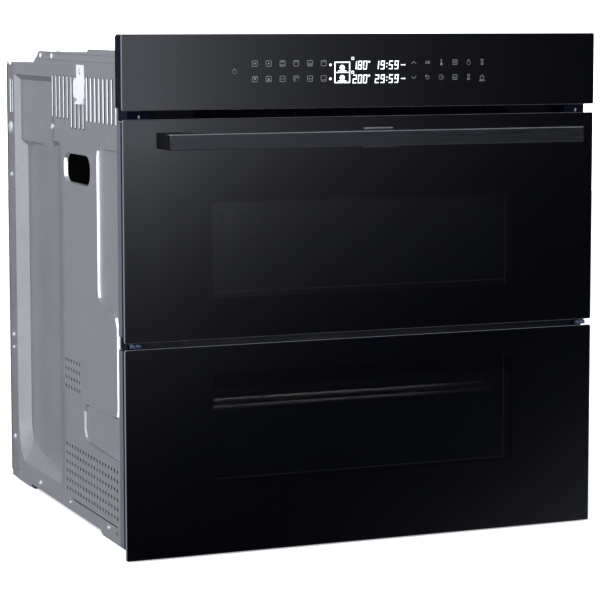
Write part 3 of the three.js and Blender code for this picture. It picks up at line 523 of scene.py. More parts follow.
# ------------------------------------------------------------------ casing sides
# Y runs from the glass to the rear, Z from the floor
PANEL_Y = (46.5, 566.8)
STEP_Z = (557, 572.5, 577)
FLANGE_FOLD = 561.5
SIDE_OUTLINE = [
    (PANEL_Y[0], 0), (151, 0), (159, 5), (462, 5), (470, 0), (PANEL_Y[1], 0), (PANEL_Y[1], STEP_Z[0]),
    (430, STEP_Z[0]), (411, STEP_Z[1]), (205, STEP_Z[1]), (203, STEP_Z[2]), (PANEL_Y[0], STEP_Z[2]),
]
LOUVRES, LOUVRE_Y, LOUVRE_STEP, LOUVRE_HALF = 17, 82, 16.25, 4
LOUVRE_LOW, LOUVRE_DEEP, LOUVRE_TOP = 490.5, 480, 544.5
CLIP_REACH = (209, 266)
REAR_SLOTS, REAR_SLOT_Z = (534.5, 546.5), (489, 535)
# first place, step and count along Y, the same along Z, and the radius of the holes
SMALL_FIELD = ((239.5, 11.5, 6), (160, 11.1, 4), 2.6)
LOW_FIELD = ((91.7, 11.38, 19), (31.2, 11.1, 6), 2.75)
RECESS_REAR, RECESS_LOW, RECESS_TOP, RECESS_DEEP = 522.5, 30, 462, 14
SHALLOW_LOW, SHALLOW_TOP, SHALLOW_DEEP = 441, 541, 7
REAR_WALL, FLOOR_WALL, CORNER = 14, 27, 2.2  # the corner's radius is counted in wall widths
REAR_STRIP = 524
FRONT_WALL, FRONT_DEEP = 1.6, 2.5
FRONT_RECESS = [
    (62, 462), (150, 462), (158, 459), (161, 452), (161, 292), (158, 284), (150, 279), (108, 273), (94, 267),
    (88, 256), (88, 160), (92, 152), (102, 149.6), (206, 149.6), (217, 147), (221.5, 139), (221.5, 117),
    (216, 107), (204, 102.7), (150, 100), (62, 100),
]
CARRY_EDGE = round_rect((187, 296.5), (413, 450.5), 17, 5)
CARRY_HOLE = round_rect((189, 293), (415, 449), 15, 5)


def offset_line(line, distance):
    """The closed line moved inwards, for one drawn clockwise."""
    moved = []
    for before, here, after in zip(line[-1:] + line[:-1], line, line[1:] + line[:1]):
        da, db = after[0] - before[0], after[1] - before[1]
        length = math.hypot(da, db)
        moved.append((here[0] + db / length * -distance, here[1] + da / length * distance))
    return moved


def edge_distance(a, b, line):
    best = 1e9
    for (a0, b0), (a1, b1) in zip(line, line[1:] + line[:1]):
        da, db = a1 - a0, b1 - b0
        t = clamp(((a - a0) * da + (b - b0) * db) / (da * da + db * db))
        best = min(best, math.hypot(a - a0 - t * da, b - b0 - t * db))
    return best


def corner_share(y, z):
    """0 at the rear and lower edges of the big recess, 1 on its floor, with a round corner between them."""
    rear, low = (RECESS_REAR - y) / REAR_WALL, (z - RECESS_LOW) / FLOOR_WALL
    if rear < CORNER and low < CORNER:
        return clamp(CORNER - math.hypot(CORNER - rear, CORNER - low))
    return clamp(min(rear, low))


def corner_line(share, front, top):
    """Fold line of the big recess at one share of its depth."""
    radius = CORNER - share
    line = [(front, RECESS_LOW + FLOOR_WALL * share)]
    for i in range(9):
        turn = math.pi / 2 * i / 8
        line.append((RECESS_REAR - REAR_WALL * (CORNER - radius * math.sin(turn)),
                     RECESS_LOW + FLOOR_WALL * (CORNER - radius * math.cos(turn))))
    return line + [(RECESS_REAR - REAR_WALL * share, top)]


def side_depth(y, z):
    """How far the side panel is pressed in at a point."""
    rear = RECESS_REAR - y
    hollow = 0.4 * smooth((y - 308) / 30) + 0.6 * clamp((y - 320) / 185) ** 1.6
    big = RECESS_DEEP * min(corner_share(y, z), hollow, clamp((RECESS_TOP - z) / RECESS_DEEP))
    from_edge = min(rear, SHALLOW_TOP - z, z - SHALLOW_LOW)
    depth = max(big, SHALLOW_DEEP * min(clamp(from_edge / SHALLOW_DEEP), smooth((y - 343) / 22)))
    if y < 230 and 90 < z < 470 and inside((y, z), FRONT_RECESS):
        depth += FRONT_DEEP * clamp(edge_distance(y, z, FRONT_RECESS) / FRONT_WALL)
    if z > FLANGE_FOLD:
        depth += 0.8 * smooth((z - FLANGE_FOLD) / 1.5) + (z - FLANGE_FOLD) * 0.17
    if y > REAR_STRIP:
        depth += (y - REAR_STRIP) * 0.07
    return depth


def louvres():
    """Place and lower end of each louvre slot; the ones behind the clip reach lower."""
    for i in range(LOUVRES):
        y = LOUVRE_Y + LOUVRE_STEP * i
        yield y, LOUVRE_DEEP if CLIP_REACH[0] < y < CLIP_REACH[1] else LOUVRE_LOW


def side_holes():
    holes = [CARRY_EDGE]
    for y, low in louvres():
        holes.append(round_rect((y - LOUVRE_HALF, y + LOUVRE_HALF), (low, LOUVRE_TOP), 2.5, 2))
    for (y, step, columns), (z, rise, rows), radius in (SMALL_FIELD, LOW_FIELD):
        for column in range(columns):
            holes += [round_hole(y + step * column, z + rise * row, radius) for row in range(rows)]
    for y in REAR_SLOTS:
        holes.append(round_rect((y - 2, y + 2), REAR_SLOT_Z, 1.6, 2))
    fixings = ((545, 305, 2.2), (545, 233, 2.2), (529.5, 12.7, 2), (95, 12.7, 2.4))
    holes += [round_hole(*fixing) for fixing in fixings]
    holes.append(round_rect((92, 272), (20, 21.6), 0.7, 1))
    return holes


def side_guides():
    """Fold lines of the pressed fields."""
    rear, top, high, front = RECESS_REAR, RECESS_TOP, SHALLOW_TOP, 306
    deep, half = RECESS_DEEP, SHALLOW_DEEP
    guides = [corner_line(0, front, high)]
    guides += [corner_line(share, front, top - deep) for share in (0.33, 0.67, 1)]
    guides += [[(REAR_STRIP, 1), (REAR_STRIP, STEP_Z[0] - 1)]]
    guides += [[(front, top - sunk), (rear - sunk, top - sunk)] for sunk in (deep, half, 0)]
    guides += [[(front, top - sunk), (500, top - sunk)] for sunk in (10.5, 3.5)]
    ends = ((half, rear - half), (3.5, 510), (0, rear))
    guides += [[(340, high - sunk), (end, high - sunk)] for sunk, end in ends]
    guides += [[(rear - half, top - half), (rear - half, high - half)]]
    guides += [[(rear - deep, top - deep), (rear - half, top - half)]]
    guides += [[(rear - half, high - half), (rear, high)]]
    folds = ((FLANGE_FOLD, 424), (FLANGE_FOLD + 1.5, 422))
    guides += [[(PANEL_Y[0], fold), (end, fold)] for fold, end in folds]
    inner = offset_line(FRONT_RECESS, -FRONT_WALL)
    guides += [FRONT_RECESS + FRONT_RECESS[:1], inner + inner[:1]]
    return guides


def carry_lip():
    """Rounded lip that leads into the carry hole."""
    lip = bmesh.new()
    rings = []
    for share in (0, 0.3, 0.6, 0.85, 1.0):
        ring = []
        for (y0, z0), (y1, z1) in zip(CARRY_EDGE, CARRY_HOLE):
            y, z = y0 + (y1 - y0) * share, z0 + (z1 - z0) * share
            ring.append(lip.verts.new(at(BODY - 4 * share ** 1.8, y, z)))
        rings.append(ring)
    skin(lip, rings[::-1])
    return lip


def side_panel():
    """Pressed sheet; its faces that turn forward, as at the recess and the slots, take a paler copy of the
    zinc sheet as a painted highlight.
    """
    panel = Piece()
    sheet = pressed(SIDE_OUTLINE, side_holes(), side_guides(), side_depth,
                    lambda y, z, d: at(BODY - d, y, z), 13)
    corner = at(0, 0, 0)
    highlight_limit = at(0, 215, 95) - corner
    lip_highlight_limit = at(0, 292, 0).y

    # faces near the front recess that turn forward take the painted highlight
    def forward_highlight(face):
        face.normal_update()
        middle = face.calc_center_median() - corner
        forward = face.normal.y < -0.55 and middle.y < highlight_limit.y and middle.z > highlight_limit.z
        return "galvanised_cut" if forward else None

    panel.add(sheet, "galvanised_steel", forward_highlight)
    # lips behind the louvre slots, all in the painted highlight
    for y, low in louvres():
        lip = box((BODY - 1.4, BODY - 0.35), (y + 3.1, y + 3.95), (low + 1.5, 543), 0.25, 1)
        panel.add(lip, "galvanised_cut")
    # rear half of the carry lip, facing forward, in the painted highlight
    panel.add(carry_lip(), "galvanised_steel",
              lambda face: "galvanised_cut" if face.calc_center_median().y > lip_highlight_limit else None)
    # lips behind the rear slots, all in the painted highlight
    for y in REAR_SLOTS:
        rear_lip = box((BODY - 2.6, BODY - 1.2), (y + 1.3, y + 2.1), (490, 534), 0.2, 1)
        panel.add(rear_lip, "galvanised_cut")
    panel.add(box((BODY - 14, BODY - 4.4), (565.6, PANEL_Y[1]), (8, 553), 0.3, 1), "galvanised_steel")
    panel.add(box((BODY - 12, BODY - 1.4), (46.6, 47.8), (3, 574), 0.3, 1), "galvanised_steel")
    return panel


def carry_pocket_shade():
    """Black cup behind the carry hole: painted shade for the inside of the hole."""
    cup = box((BODY - 30, BODY - 1.4), (183, 306), (409, 454), 0.0)
    for face in [f for f in cup.faces if f.normal.x > 0.9]:
        cup.faces.remove(face)
    bmesh.ops.reverse_faces(cup, faces=cup.faces)
    return Piece().add(cup, "black_print_and_shade")


def painted_shade_plates():
    """Black plates behind the louvres, the two fields of small holes and the rear slots: painted shade, so
    the openings read dark.
    """
    shade_sheets = Piece()
    places = ((10, (60, 345), (476, 548)), (2.8, (85, 302), (27, 90)), (2.8, (234, 302), (155, 197)),
              (12, (530, 552), (485, 539)))
    for depth, y, z in places:
        shade_sheets.add(box((BODY - depth, BODY - depth + 0.8), y, z, 0.3, 1), "black_print_and_shade")
    return shade_sheets


def side_clip():
    """Plated leaf spring: screwed at the top, bowed in the middle, its tail bent back in."""
    clip = Piece()
    steps = [(558, 208, 240, 0.3), (548, 208, 240, 0.3), (542, 208, 240, 0.5), (540.5, 205, 249, 1.0),
             (535, 205, 249, 1.7), (526, 205, 249, 1.9), (519, 205, 249, 1.6), (517.5, 209, 236, 1.5),
             (513, 209, 236, 1.2), (511, 210, 235, 0.4)]
    bm = bmesh.new()
    rows = []
    for z, rear, front, lift in steps:
        row = []
        for share in (0, 0.04, 0.35, 0.65, 0.96, 1):
            dip = 0.5 if share in (0, 1) else 0
            row.append(bm.verts.new(at(BODY + max(0.05, lift - dip), rear + (front - rear) * share, z)))
        rows.append(row)
    skin(bm, rows, closed=False)
    bmesh.ops.recalc_face_normals(bm, faces=bm.faces)
    if sum(f.normal.x for f in bm.faces) < 0:
        bmesh.ops.reverse_faces(bm, faces=bm.faces)
    turn_edges(bm, Vector((-0.0009, 0, 0)))
    clip.add(bm, "bright_plated")
    clip.add(screw("x", (224, 550), BODY + 0.3, 1, 3.2, 1.3), "plated_steel")
    tail = [(BODY, 516.5), (BODY + 3.6, 512), (BODY + 4.3, 511.3), (BODY + 3.4, 511), (BODY, 513.6)]
    hook = prism("y", tail, 210, 236)
    clip.add(hook, "bright_plated")
    return clip


def side_screws():
    """Screws, rivets and the foot of one side."""
    heads = Piece()
    places = ((344.7, 479, 4), (545, 407.7, 3.4), (545, 193, 3.4), (545, 176, 2.6), (545, 55.3, 3.4),
              (419, 14.4, 3), (126, 14, 3), (283, 15, 1.8))
    for y, z, radius in places:
        heads.add(screw("x", (y, z), BODY - side_depth(y, z) - 0.1, 1, radius, 2.0), "plated_steel")
    # a screw head in the painted-highlight zinc
    heads.add(screw("x", (545, 556), BODY - 1.6, 1, 3, 2.2), "galvanised_cut")
    button = [(9, BODY - 2), (8.6, BODY - 0.8), (7, BODY + 0.5), (4, BODY + 1.3), (0.5, BODY + 1.5)]
    heads.add(lathe("x", (546, 470), button, 24), "plated_steel")
    for y in (351, 401):
        rivet = [(3.4, BODY - 2.4), (3.2, BODY - 1.2), (2.2, BODY - 0.7), (0.4, BODY - 0.5)]
        heads.add(lathe("x", (y, 567), rivet, 14), "bright_plated")
    heads.add(box((BODY - 18, BODY - 0.6), (452, 466), (0.3, 5.6), 0.8), "foot_rubber")
    return heads


# ------------------------------------------------------------------ casing top, back and plates
def rib_depth(x, y, ribs, deep):
    """Depth of straight beads: each is (x0, x1, y0, y1), pressed in with round flanks."""
    best = 0.0
    for x0, x1, y0, y1 in ribs:
        reach = min(x - x0, x1 - x, y - y0, y1 - y)
        best = max(best, deep * smooth(reach / 5))
    return best


def rib_guides(ribs):
    guides = []
    for x0, x1, y0, y1 in ribs:
        for inset in (0, 2.5, 5):
            a0, a1, b0, b1 = x0 + inset, x1 - inset, y0 + inset, y1 - inset
            guides.append([(a0, b0), (a1, b0), (a1, b1), (a0, b1), (a0, b0)])
    return guides


def top_height(y):
    """Height of the top cover's outer face along its folded profile."""
    return 571.2 - 15.5 * clamp((y - 412) / 19)


def top_cover():
    ribs = [(-230, -214, 90, 380), (-130, -114, 90, 380), (114, 130, 90, 380), (214, 230, 90, 380),
            (-90, 90, 110, 124), (-90, 90, 330, 344)]
    holes = [round_rect((-116 + 28 * i, -108 + 28 * i), (452, 500), 3.5, 3) for i in range(9)]
    holes += [round_hole(x, 77, 2.6) for x in (-180, -60, 60, 180)]
    outline = [(-276.3, 60), (276.3, 60), (276.3, 564.8), (-276.3, 564.8)]
    guides = rib_guides(ribs) + [[(-276.3, y), (276.3, y)] for y in (412, 431)]
    sheet = pressed(outline, holes, guides, lambda x, y: rib_depth(x, y, ribs, 2.4),
                    lambda x, y, d: at(x, y, top_height(y) - d), 16)
    cover = Piece().add(sheet, "galvanised_steel")
    for x in (-258, 258):
        for y in (75, 230, 385):
            cover.add(screw("z", (x, y), 571.1, 1, 3.6, 1.8), "plated_steel")
        cover.add(screw("z", (x, 545), 555.6, 1, 3.6, 1.4), "plated_steel")
    return cover


def rear_cover():
    ribs = [(-240, 240, 60, 74), (-240, 240, 440, 454)]
    ribs += [(x - 8, x + 8, 100, 420) for x in (-210, -105, 0, 105, 210)]
    holes = [round_rect((-135 + 24 * i, -129 + 24 * i), (500, 536), 2.6, 3) for i in range(11)]
    holes += [round_rect((165, 235), (484, 540), 3, 3)]
    holes += [round_rect((-262, -250), (z, z + 30), 3, 3) for z in (120, 260, 400)]
    sheet = pressed(round_rect((-276, 276), (3, 556), 6), holes, rib_guides(ribs),
                    lambda x, z: rib_depth(x, z, ribs, 3), lambda x, z, d: at(x, 567.9 - d, z), 18)
    cover = Piece().add(sheet, "galvanised_steel")
    for x in (-268, 268):
        for z in (14, 150, 290, 430, 545):
            cover.add(screw("y", (x, z), 566.6, 1, 3.6, 1.3), "plated_steel")
    return cover


def deck():
    """Plate above the insulation, narrower than the pressed side fields."""
    holes = [round_hole(x, y, 4, 12) for x in (-90, 90) for y in (400, 520)]
    sheet = pressed([(-262, 60), (262, 60), (262, 552), (-262, 552)], holes, [],
                    lambda x, y: 0, lambda x, y, d: at(x, y, 471.6 - d), 30)
    return Piece().add(sheet, "galvanised_steel")


def terminal_box():
    """Moulded block with a cable gland, a row of brass terminals and a hinged lid above them."""
    block = Piece()
    block.add(box((166, 234), (500, 560), (485, 539), 1.5), "black_plastic")
    block.add(box((167, 233), (555, 563), (486, 491), 0.8), "black_plastic")
    block.add(box((167, 233), (555, 564), (531, 538), 1.0), "black_plastic")
    block.add(box((196, 199), (555, 563.5), (490, 532), 0.6), "black_plastic")
    gland = [(12.5, 558), (12.5, 562), (11, 563), (11, 565.4), (8.5, 565.8), (7.8, 560), (7.5, 558)]
    block.add(lathe("y", (183, 498), gland, 24), "black_plastic")
    for x in (206, 214, 222, 230):
        block.add(box((x - 3.2, x + 3.2), (556, 562), (498, 524), 0.7), "black_plastic")
        for z in (503, 519):
            block.add(screw("y", (x, z), 561.6, 1, 2.0, 1.4), "brass")
    return block


# ------------------------------------------------------------------ glass and doors
def pane(half, z, window=None):
    """Front pane with rounded corners, ground edges and, where given, a see-through window."""
    bm = box((-half, half), (0, GLASS), z)
    if window:
        reach, low, high = window
        for point, normal in ((at(reach, 0, 0), (1, 0, 0)), (at(-reach, 0, 0), (1, 0, 0)),
                              (at(0, 0, low), (0, 0, 1)), (at(0, 0, high), (0, 0, 1))):
            whole = bm.verts[:] + bm.edges[:] + bm.faces[:]
            bmesh.ops.bisect_plane(bm, geom=whole, plane_co=point, plane_no=normal)

    def sharp_edges():
        return [e for e in bm.edges if len(e.link_faces) == 2 and e.calc_face_angle(0) > 1]

    corners = [e for e in sharp_edges() if abs((e.verts[0].co - e.verts[1].co).normalized().y) > 0.9]
    bmesh.ops.bevel(bm, geom=corners, offset=0.0022, segments=4, profile=0.5, affect="EDGES")
    bmesh.ops.bevel(bm, geom=sharp_edges(), offset=0.0007, segments=2, profile=0.5, affect="EDGES")

    def choose(face):
        face.normal_update()
        if abs(face.normal.y) < 0.9:
            return "glass_edge"
        centre = face.calc_center_median() * 1000
        if window and abs(centre.x) < window[0] and window[1] < centre.z < window[2]:
            return "window_glass" if window is UPPER_WINDOW else "lower_window"
        return None

    return Piece().add(bm, "black_glass", choose)


def inner_pane(half, y, z, border, lip):
    """Inner door pane with a printed border round its clear field."""
    glass = Piece().add(box((-half, half), y, z, 0.5), "clear_glass")
    face_y = y[0] - 0.04
    inner_x, outer_x = half - border, half - 1
    low, high = z[0] + border - lip, z[1] - border + lip
    strips = [(-outer_x, -inner_x, z[0] + 1, z[1] - 1), (inner_x, outer_x, z[0] + 1, z[1] - 1),
              (-inner_x, inner_x, z[0] + 1, low), (-inner_x, inner_x, high, z[1] - 1)]
    for x0, x1, z0, z1 in strips:
        glass.add(box((x0, x1), (face_y - 0.02, face_y), (z0, z1)), "black_print_and_shade")
    return glass


SPACER_Y = (15.6, 17.4)


def window_spacer(window, rise):
    """Spacer profile between the outer and middle panes, just inside the edges of the window."""
    reach, low, high = window
    spacer = Piece()
    for side in (-1, 1):
        x = sorted((side * (reach - 4.5), side * (reach - 3.3)))
        spacer.add(box(x, SPACER_Y, (low - 4, high + 4), 0.2, 1), "spacer_grey")
    bar = box((-reach + 5, reach - 5), SPACER_Y, (low + rise, low + rise + 1.3), 0.2, 1)
    spacer.add(bar, "spacer_grey")
    return spacer


def frame_trims():
    """Dark side strips of the frames that show beside the glass from the side."""
    frames = (("control", "cabinet", (513.2, 593.8)), ("upper", "upper_door", (255, 496.5)),
              ("lower", "lower_door", (11.5, 238.5)))
    for name, body, z in frames:
        strip = Piece()
        for side in (-1, 1):
            x = sorted((side * 291.6, side * 292.0))
            if name == "control":
                strip.add(box(x, (4.5, 42), z, 0.15, 1), "navy_trim")
            else:
                strip.add(box(x, (4.5, 24), z, 0.15, 1), "navy_trim")
                strip.add(box(x, (24.2, 37.5), z, 0.15, 1), "frame_edge")
        strip.place(name + "_side_trim", body, "black_plastic")


def control_top_lip():
    lip = Piece().add(box((-296.8, 296.8), (4.3, 24), (594.1, 595.9), 0.5), "black_plastic")
    for x in (-240, -80, 80, 240):
        lip.add(box((x - 9, x + 9), (22, 27), (594.2, 595.6), 0.4), "black_plastic")
    return lip


def gap_pins():
    """Light pins and dark guide blocks at both ends of the air gap above the doors."""
    pins = Piece()
    for side in (-1, 1):
        pins.add(box(sorted((side * 262, side * 289)), (9, 42), (498.3, 512.7), 0.6), "navy_trim")
        pin = [(1, 501.8), (1.3, 502.2), (1.3, 505.4), (1, 505.8)]
        pins.add(lathe("z", (side * 276, 6.4), pin, 12), "bar_edge")
    return pins


def gap_blocks():
    """Dark filler blocks at both ends of the gap between the doors, behind the split hinges."""
    blocks = Piece()
    for side in (-1, 1):
        blocks.add(box(sorted((side * 274.5, side * 290)), (12, 37), (239.6, 253.4), 0.6), "navy_trim")
    return blocks


def outlet_shade_grille():
    """Black grille in the cooling air outlet: two rails, slanting blades and fins, set there as painted
    shade so the gap shows dark.
    """
    grille = Piece()
    for z in ((497.5, 500.5), (510.6, 512.6)):
        grille.add(box((-261, 261), (39.4, 42.6), z, 0.5), "black_plastic")
    for side in (-1, 1):
        grille.add(box(sorted((side * 201, side * 261)), (39.4, 42.6), (500, 511), 0.5), "black_plastic")
    for z in (500.4, 503.8, 507.2):
        blade = [(39.6, z), (40.3, z), (42.7, z + 4.6), (42.0, z + 4.6)]
        grille.add(prism("x", blade, -202, 202), "black_plastic")
    for i in range(17):
        x = -200 + 25 * i
        grille.add(box((x - 0.8, x + 0.8), (39.5, 42.6), (500, 511), 0.2, 1), "black_plastic")
    return grille


# ------------------------------------------------------------------ handle
def handle_bar():
    bar = Piece()
    body = box((-BAR_HALF, BAR_HALF), (BAR_FRONT, BAR_BACK), BAR_Z, 1.1)
    # bevel faces that turn upwards take the painted highlight
    bar.add(body, "dark_anodised", lambda f: "bar_edge" if 0.3 < f.normal.z < 0.97 else None)
    for side in (-1, 1):
        x = sorted((side * 18.6, side * 21.4))
        bar.add(box(x, (BAR_BACK - 0.5, -29.2), (465.4, 470.6), 0.5), "dark_anodised")
        cap = box(sorted((side * (BAR_HALF - 0.3), side * BAR_HALF)), (BAR_FRONT + 1, BAR_BACK - 1),
                  (BAR_Z[0] + 1, BAR_Z[1] - 1))
        bar.add(cap, "black_plastic")
    return bar


def handle_post():
    foot = [(258, -36.2), (258, -0.25), (238, -0.25), (233, -2.2), (208, -33.5), (204.5, -36.2)]
    return Piece().add(prism("z", foot, BAR_Z[0] + 0.1, BAR_Z[1] - 0.1, 0.7), "black_plastic")


def release_lever():
    lever = Piece()
    lever.add(box((-18, 18), (-32.6, -30.2), (466.6, 488.6), 0.8), "dark_anodised")
    # top edge of the lever in the painted highlight
    lever.add(box((-18, 18), (-32.6, -26.6), (487.4, 489.5), 0.8), "bar_edge")
    end = [(0.8, 20.4), (1.2, 20.2), (1.2, 18), (2.2, 17.8)]
    barrel = [(radius, -x) for radius, x in end] + end[::-1]
    lever.add(lathe("x", (-31.5, 468), barrel, 16), "dark_anodised")
    return lever


# ------------------------------------------------------------------ wirework
def bow(points, radius, steps=5):
    """The polyline with its corners rounded."""
    line = [Vector(p) for p in points]
    made = [line[0]]
    for before, here, after in zip(line, line[1:], line[2:]):
        start = here + (before - here).normalized() * radius
        end = here + (after - here).normalized() * radius
        for i in range(steps + 1):
            t = i / steps
            made.append(start.lerp(here, t).lerp(here.lerp(end, t), t))
    return made + [line[-1]]


def wire_shelf():
    shelf = Piece()
    half, front, back, z, top = 201, 80, 440, 157.2, 165.7
    front_limit = at(0, front + 10, 0).y

    def behind(face):
        return "chrome_wire" if face.calc_center_median().y > front_limit else None

    corners = [(0, front, z), (half, front, z), (half, back, z), (-half, back, z), (-half, front, z),
               (0, front, z)]
    shelf.add(tube(bow(corners, 9)[:-1], 2.5, 12, closed=True), "shelf_wire", behind)
    raised = [(-190, front + 9, z + 0.5), (-190, front, top), (190, front, top), (190, front + 9, z + 0.5)]
    shelf.add(tube(bow(raised, 3), 2.5, 12), "shelf_wire")
    for y in (200, 320):
        shelf.add(tube([(-half, y, z - 2.2), (0, y, z - 2.2), (half, y, z - 2.2)], 1.9, 10), "chrome_wire")
    for i in range(18):
        x = -187 + 22 * i
        bars = [(x, front, top - 2.2), (x, front + 7, z + 3.2), (x, front + 14, z + 2.2), (x, back, z + 2.2)]
        shelf.add(tube(bow(bars, 3, 3), 1.6, 8), "shelf_wire", behind)
    return shelf


def side_rack():
    rack = Piece()
    for y in (85, 340, 444):
        rack.add(tube([(206, y, 84), (206, y, 240), (206, y, 390)], 2.5), "chrome_wire")
    for level in (104, 151.7, 199.4, 241.4, 300, 350):
        upper = level + 13.3
        loop = [(206, 444, level), (203, 440, level), (203, 90, level), (203, 83, level + 2),
                (203, 83, level + 11.3), (203, 90, upper), (203, 440, upper), (206, 444, upper)]
        rack.add(tube(bow(loop, 3, 3), 2.4), "chrome_wire")
    for y in (120, 370):
        hook = [(204.5, 340, y), (210, 340, y), (213, 340, y + 2), (214.4, 340, y + 4)]
        rack.add(tube(hook, 2), "chrome_wire")
    return rack


def divider():
    """Enamelled plate with a rolled edge, runners and a shallow pressed field."""
    ribs = [(-170, 170, 120, 400)]
    sheet = pressed([(-194, 80), (194, 80), (194, 442.5), (-194, 442.5)], [], rib_guides(ribs),
                    lambda x, y: rib_depth(x, y, ribs, 1.2), lambda x, y, d: at(x, y, 250.6 - d), 20)
    plate = Piece().add(sheet, "enamel")
    plate.add(box((-194, 194), (81, 442), (244.4, 249), 1.2), "enamel")
    plate.add(tube([(-193, 81.5, 248.2), (0, 81.5, 248.2), (193, 81.5, 248.2)], 2.3), "plated_steel")
    plate.add(box((-203.3, 203.3), (84, 443), (244.3, 247.2), 0.9), "enamel")
    return plate


# ------------------------------------------------------------------ display and symbols
PRINT_Y = -0.03
CAP_SHARE = 0.35  # how far a stroke runs past its ends, as a share of its width


class Print:
    """Flat marks just proud of the control glass, from strokes in millimetres."""

    def __init__(self):
        self.bm = bmesh.new()

    def polygon(self, points):
        face = self.bm.faces.new([self.bm.verts.new(at(x, PRINT_Y, z)) for x, z in points])
        face.normal_update()
        if face.normal.y > 0:
            face.normal_flip()

    def stroke(self, x0, z0, x1, z1, width):
        dx, dz = x1 - x0, z1 - z0
        length = math.hypot(dx, dz) or 1
        ox, oz = -dz / length * width / 2, dx / length * width / 2
        ex, ez = dx / length * width * CAP_SHARE, dz / length * width * CAP_SHARE
        self.polygon([(x0 + ox - ex, z0 + oz - ez), (x1 + ox + ex, z1 + oz + ez),
                      (x1 - ox + ex, z1 - oz + ez), (x0 - ox - ex, z0 - oz - ez)])

    def path(self, points, width):
        for (x0, z0), (x1, z1) in zip(points, points[1:]):
            self.stroke(x0, z0, x1, z1, width)

    def dot(self, x, z, radius, sides=14):
        self.polygon(round_hole(x, z, radius, sides))

    def ring(self, x, z, radius, width, start=0, end=360, steps=16):
        turns = [math.radians(start + (end - start) * i / steps) for i in range(steps + 1)]
        self.path([(x + radius * math.cos(t), z + radius * math.sin(t)) for t in turns], width)

    def square(self, x, z, half, width, tall=None):
        high = tall or half
        self.path([(x - half, z - high), (x + half, z - high), (x + half, z + high),
                   (x - half, z + high), (x - half, z - high)], width)

    def place(self, name, look):
        Piece().add(self.bm, look).place(name, "cabinet", "black_glass")


SEGMENTS = {"0": "abcdef", "1": "bc", "2": "abged", "5": "afgcd", "8": "abcdefg", "9": "abcdfg"}
SEGMENT_ENDS = {"a": (0, 2, 1, 2), "b": (1, 2, 1, 1), "c": (1, 1, 1, 0), "d": (0, 0, 1, 0),
                "e": (0, 0, 0, 1), "f": (0, 1, 0, 2), "g": (0, 1, 1, 1)}
SLANT = 0.09
DIGIT_WIDTH, DIGIT_HALF, DIGIT_STROKE = 3.8, 4.35, 1.05
HEAT_STEP, CLOCK_STEP, COLON_STEP = 6.5, 7.2, 3.2


def digit(mark, x, z, value):
    """Seven-segment figure; its lower left corner is at x, z."""
    for name in SEGMENTS[value]:
        x0, z0, x1, z1 = SEGMENT_ENDS[name]
        mark.stroke(x + DIGIT_WIDTH * x0 + SLANT * DIGIT_HALF * z0, z + DIGIT_HALF * z0,
                    x + DIGIT_WIDTH * x1 + SLANT * DIGIT_HALF * z1, z + DIGIT_HALF * z1, DIGIT_STROKE)


def display():
    """Two rows of generic heat and clock figures, and the sign of the two ovens at their left."""
    white = Print()
    for z, heat, clock in ((555.4, "180", "19:59"), (539.5, "200", "29:59")):
        x = -18.6
        for value in heat:
            digit(white, x, z, value)
            x += HEAT_STEP
        white.ring(x + 1.0, z + 8.2, 0.9, 0.5, steps=8)
        x = 9.4
        for value in clock:
            if value == ":":
                white.dot(x + 0.2, z + 2.4, 0.7)
                white.dot(x + 0.6, z + 6.2, 0.7)
                x += COLON_STEP
            else:
                digit(white, x, z, value)
                x += CLOCK_STEP
        white.stroke(x + 1.0, z + 4.4, x + 5.2, z + 4.4, 0.9)
        white.dot(x + 5.6, z + 4.4, 0.8)
        white.dot(-46.8, z + 4.9, 1.5)
        white.square(-18.8, z + 12.2, 1.3, 0.5)
    white.square(-32, 551.6, 9.2, 1.2, 11.6)
    white.stroke(-41, 551.6, -23, 551.6, 1.0)
    for z in (557, 545.4):
        white.dot(-32, z, 3.2)
        white.stroke(-37, z - 3.6, -27, z - 3.6, 0.8)
    white.place("display_digits", "print_white")


SYMBOL_STROKE = 0.62
SYMBOL_ROWS, SYMBOLS_IN_ROW = (562.4, 544.9), 6
MODE_X, MODE_STEP = -139.7, 16.9
TOOL_X, TOOL_STEP = 58.7, 17.7
POWER_X, POWER_Z = -164.3, 553.8


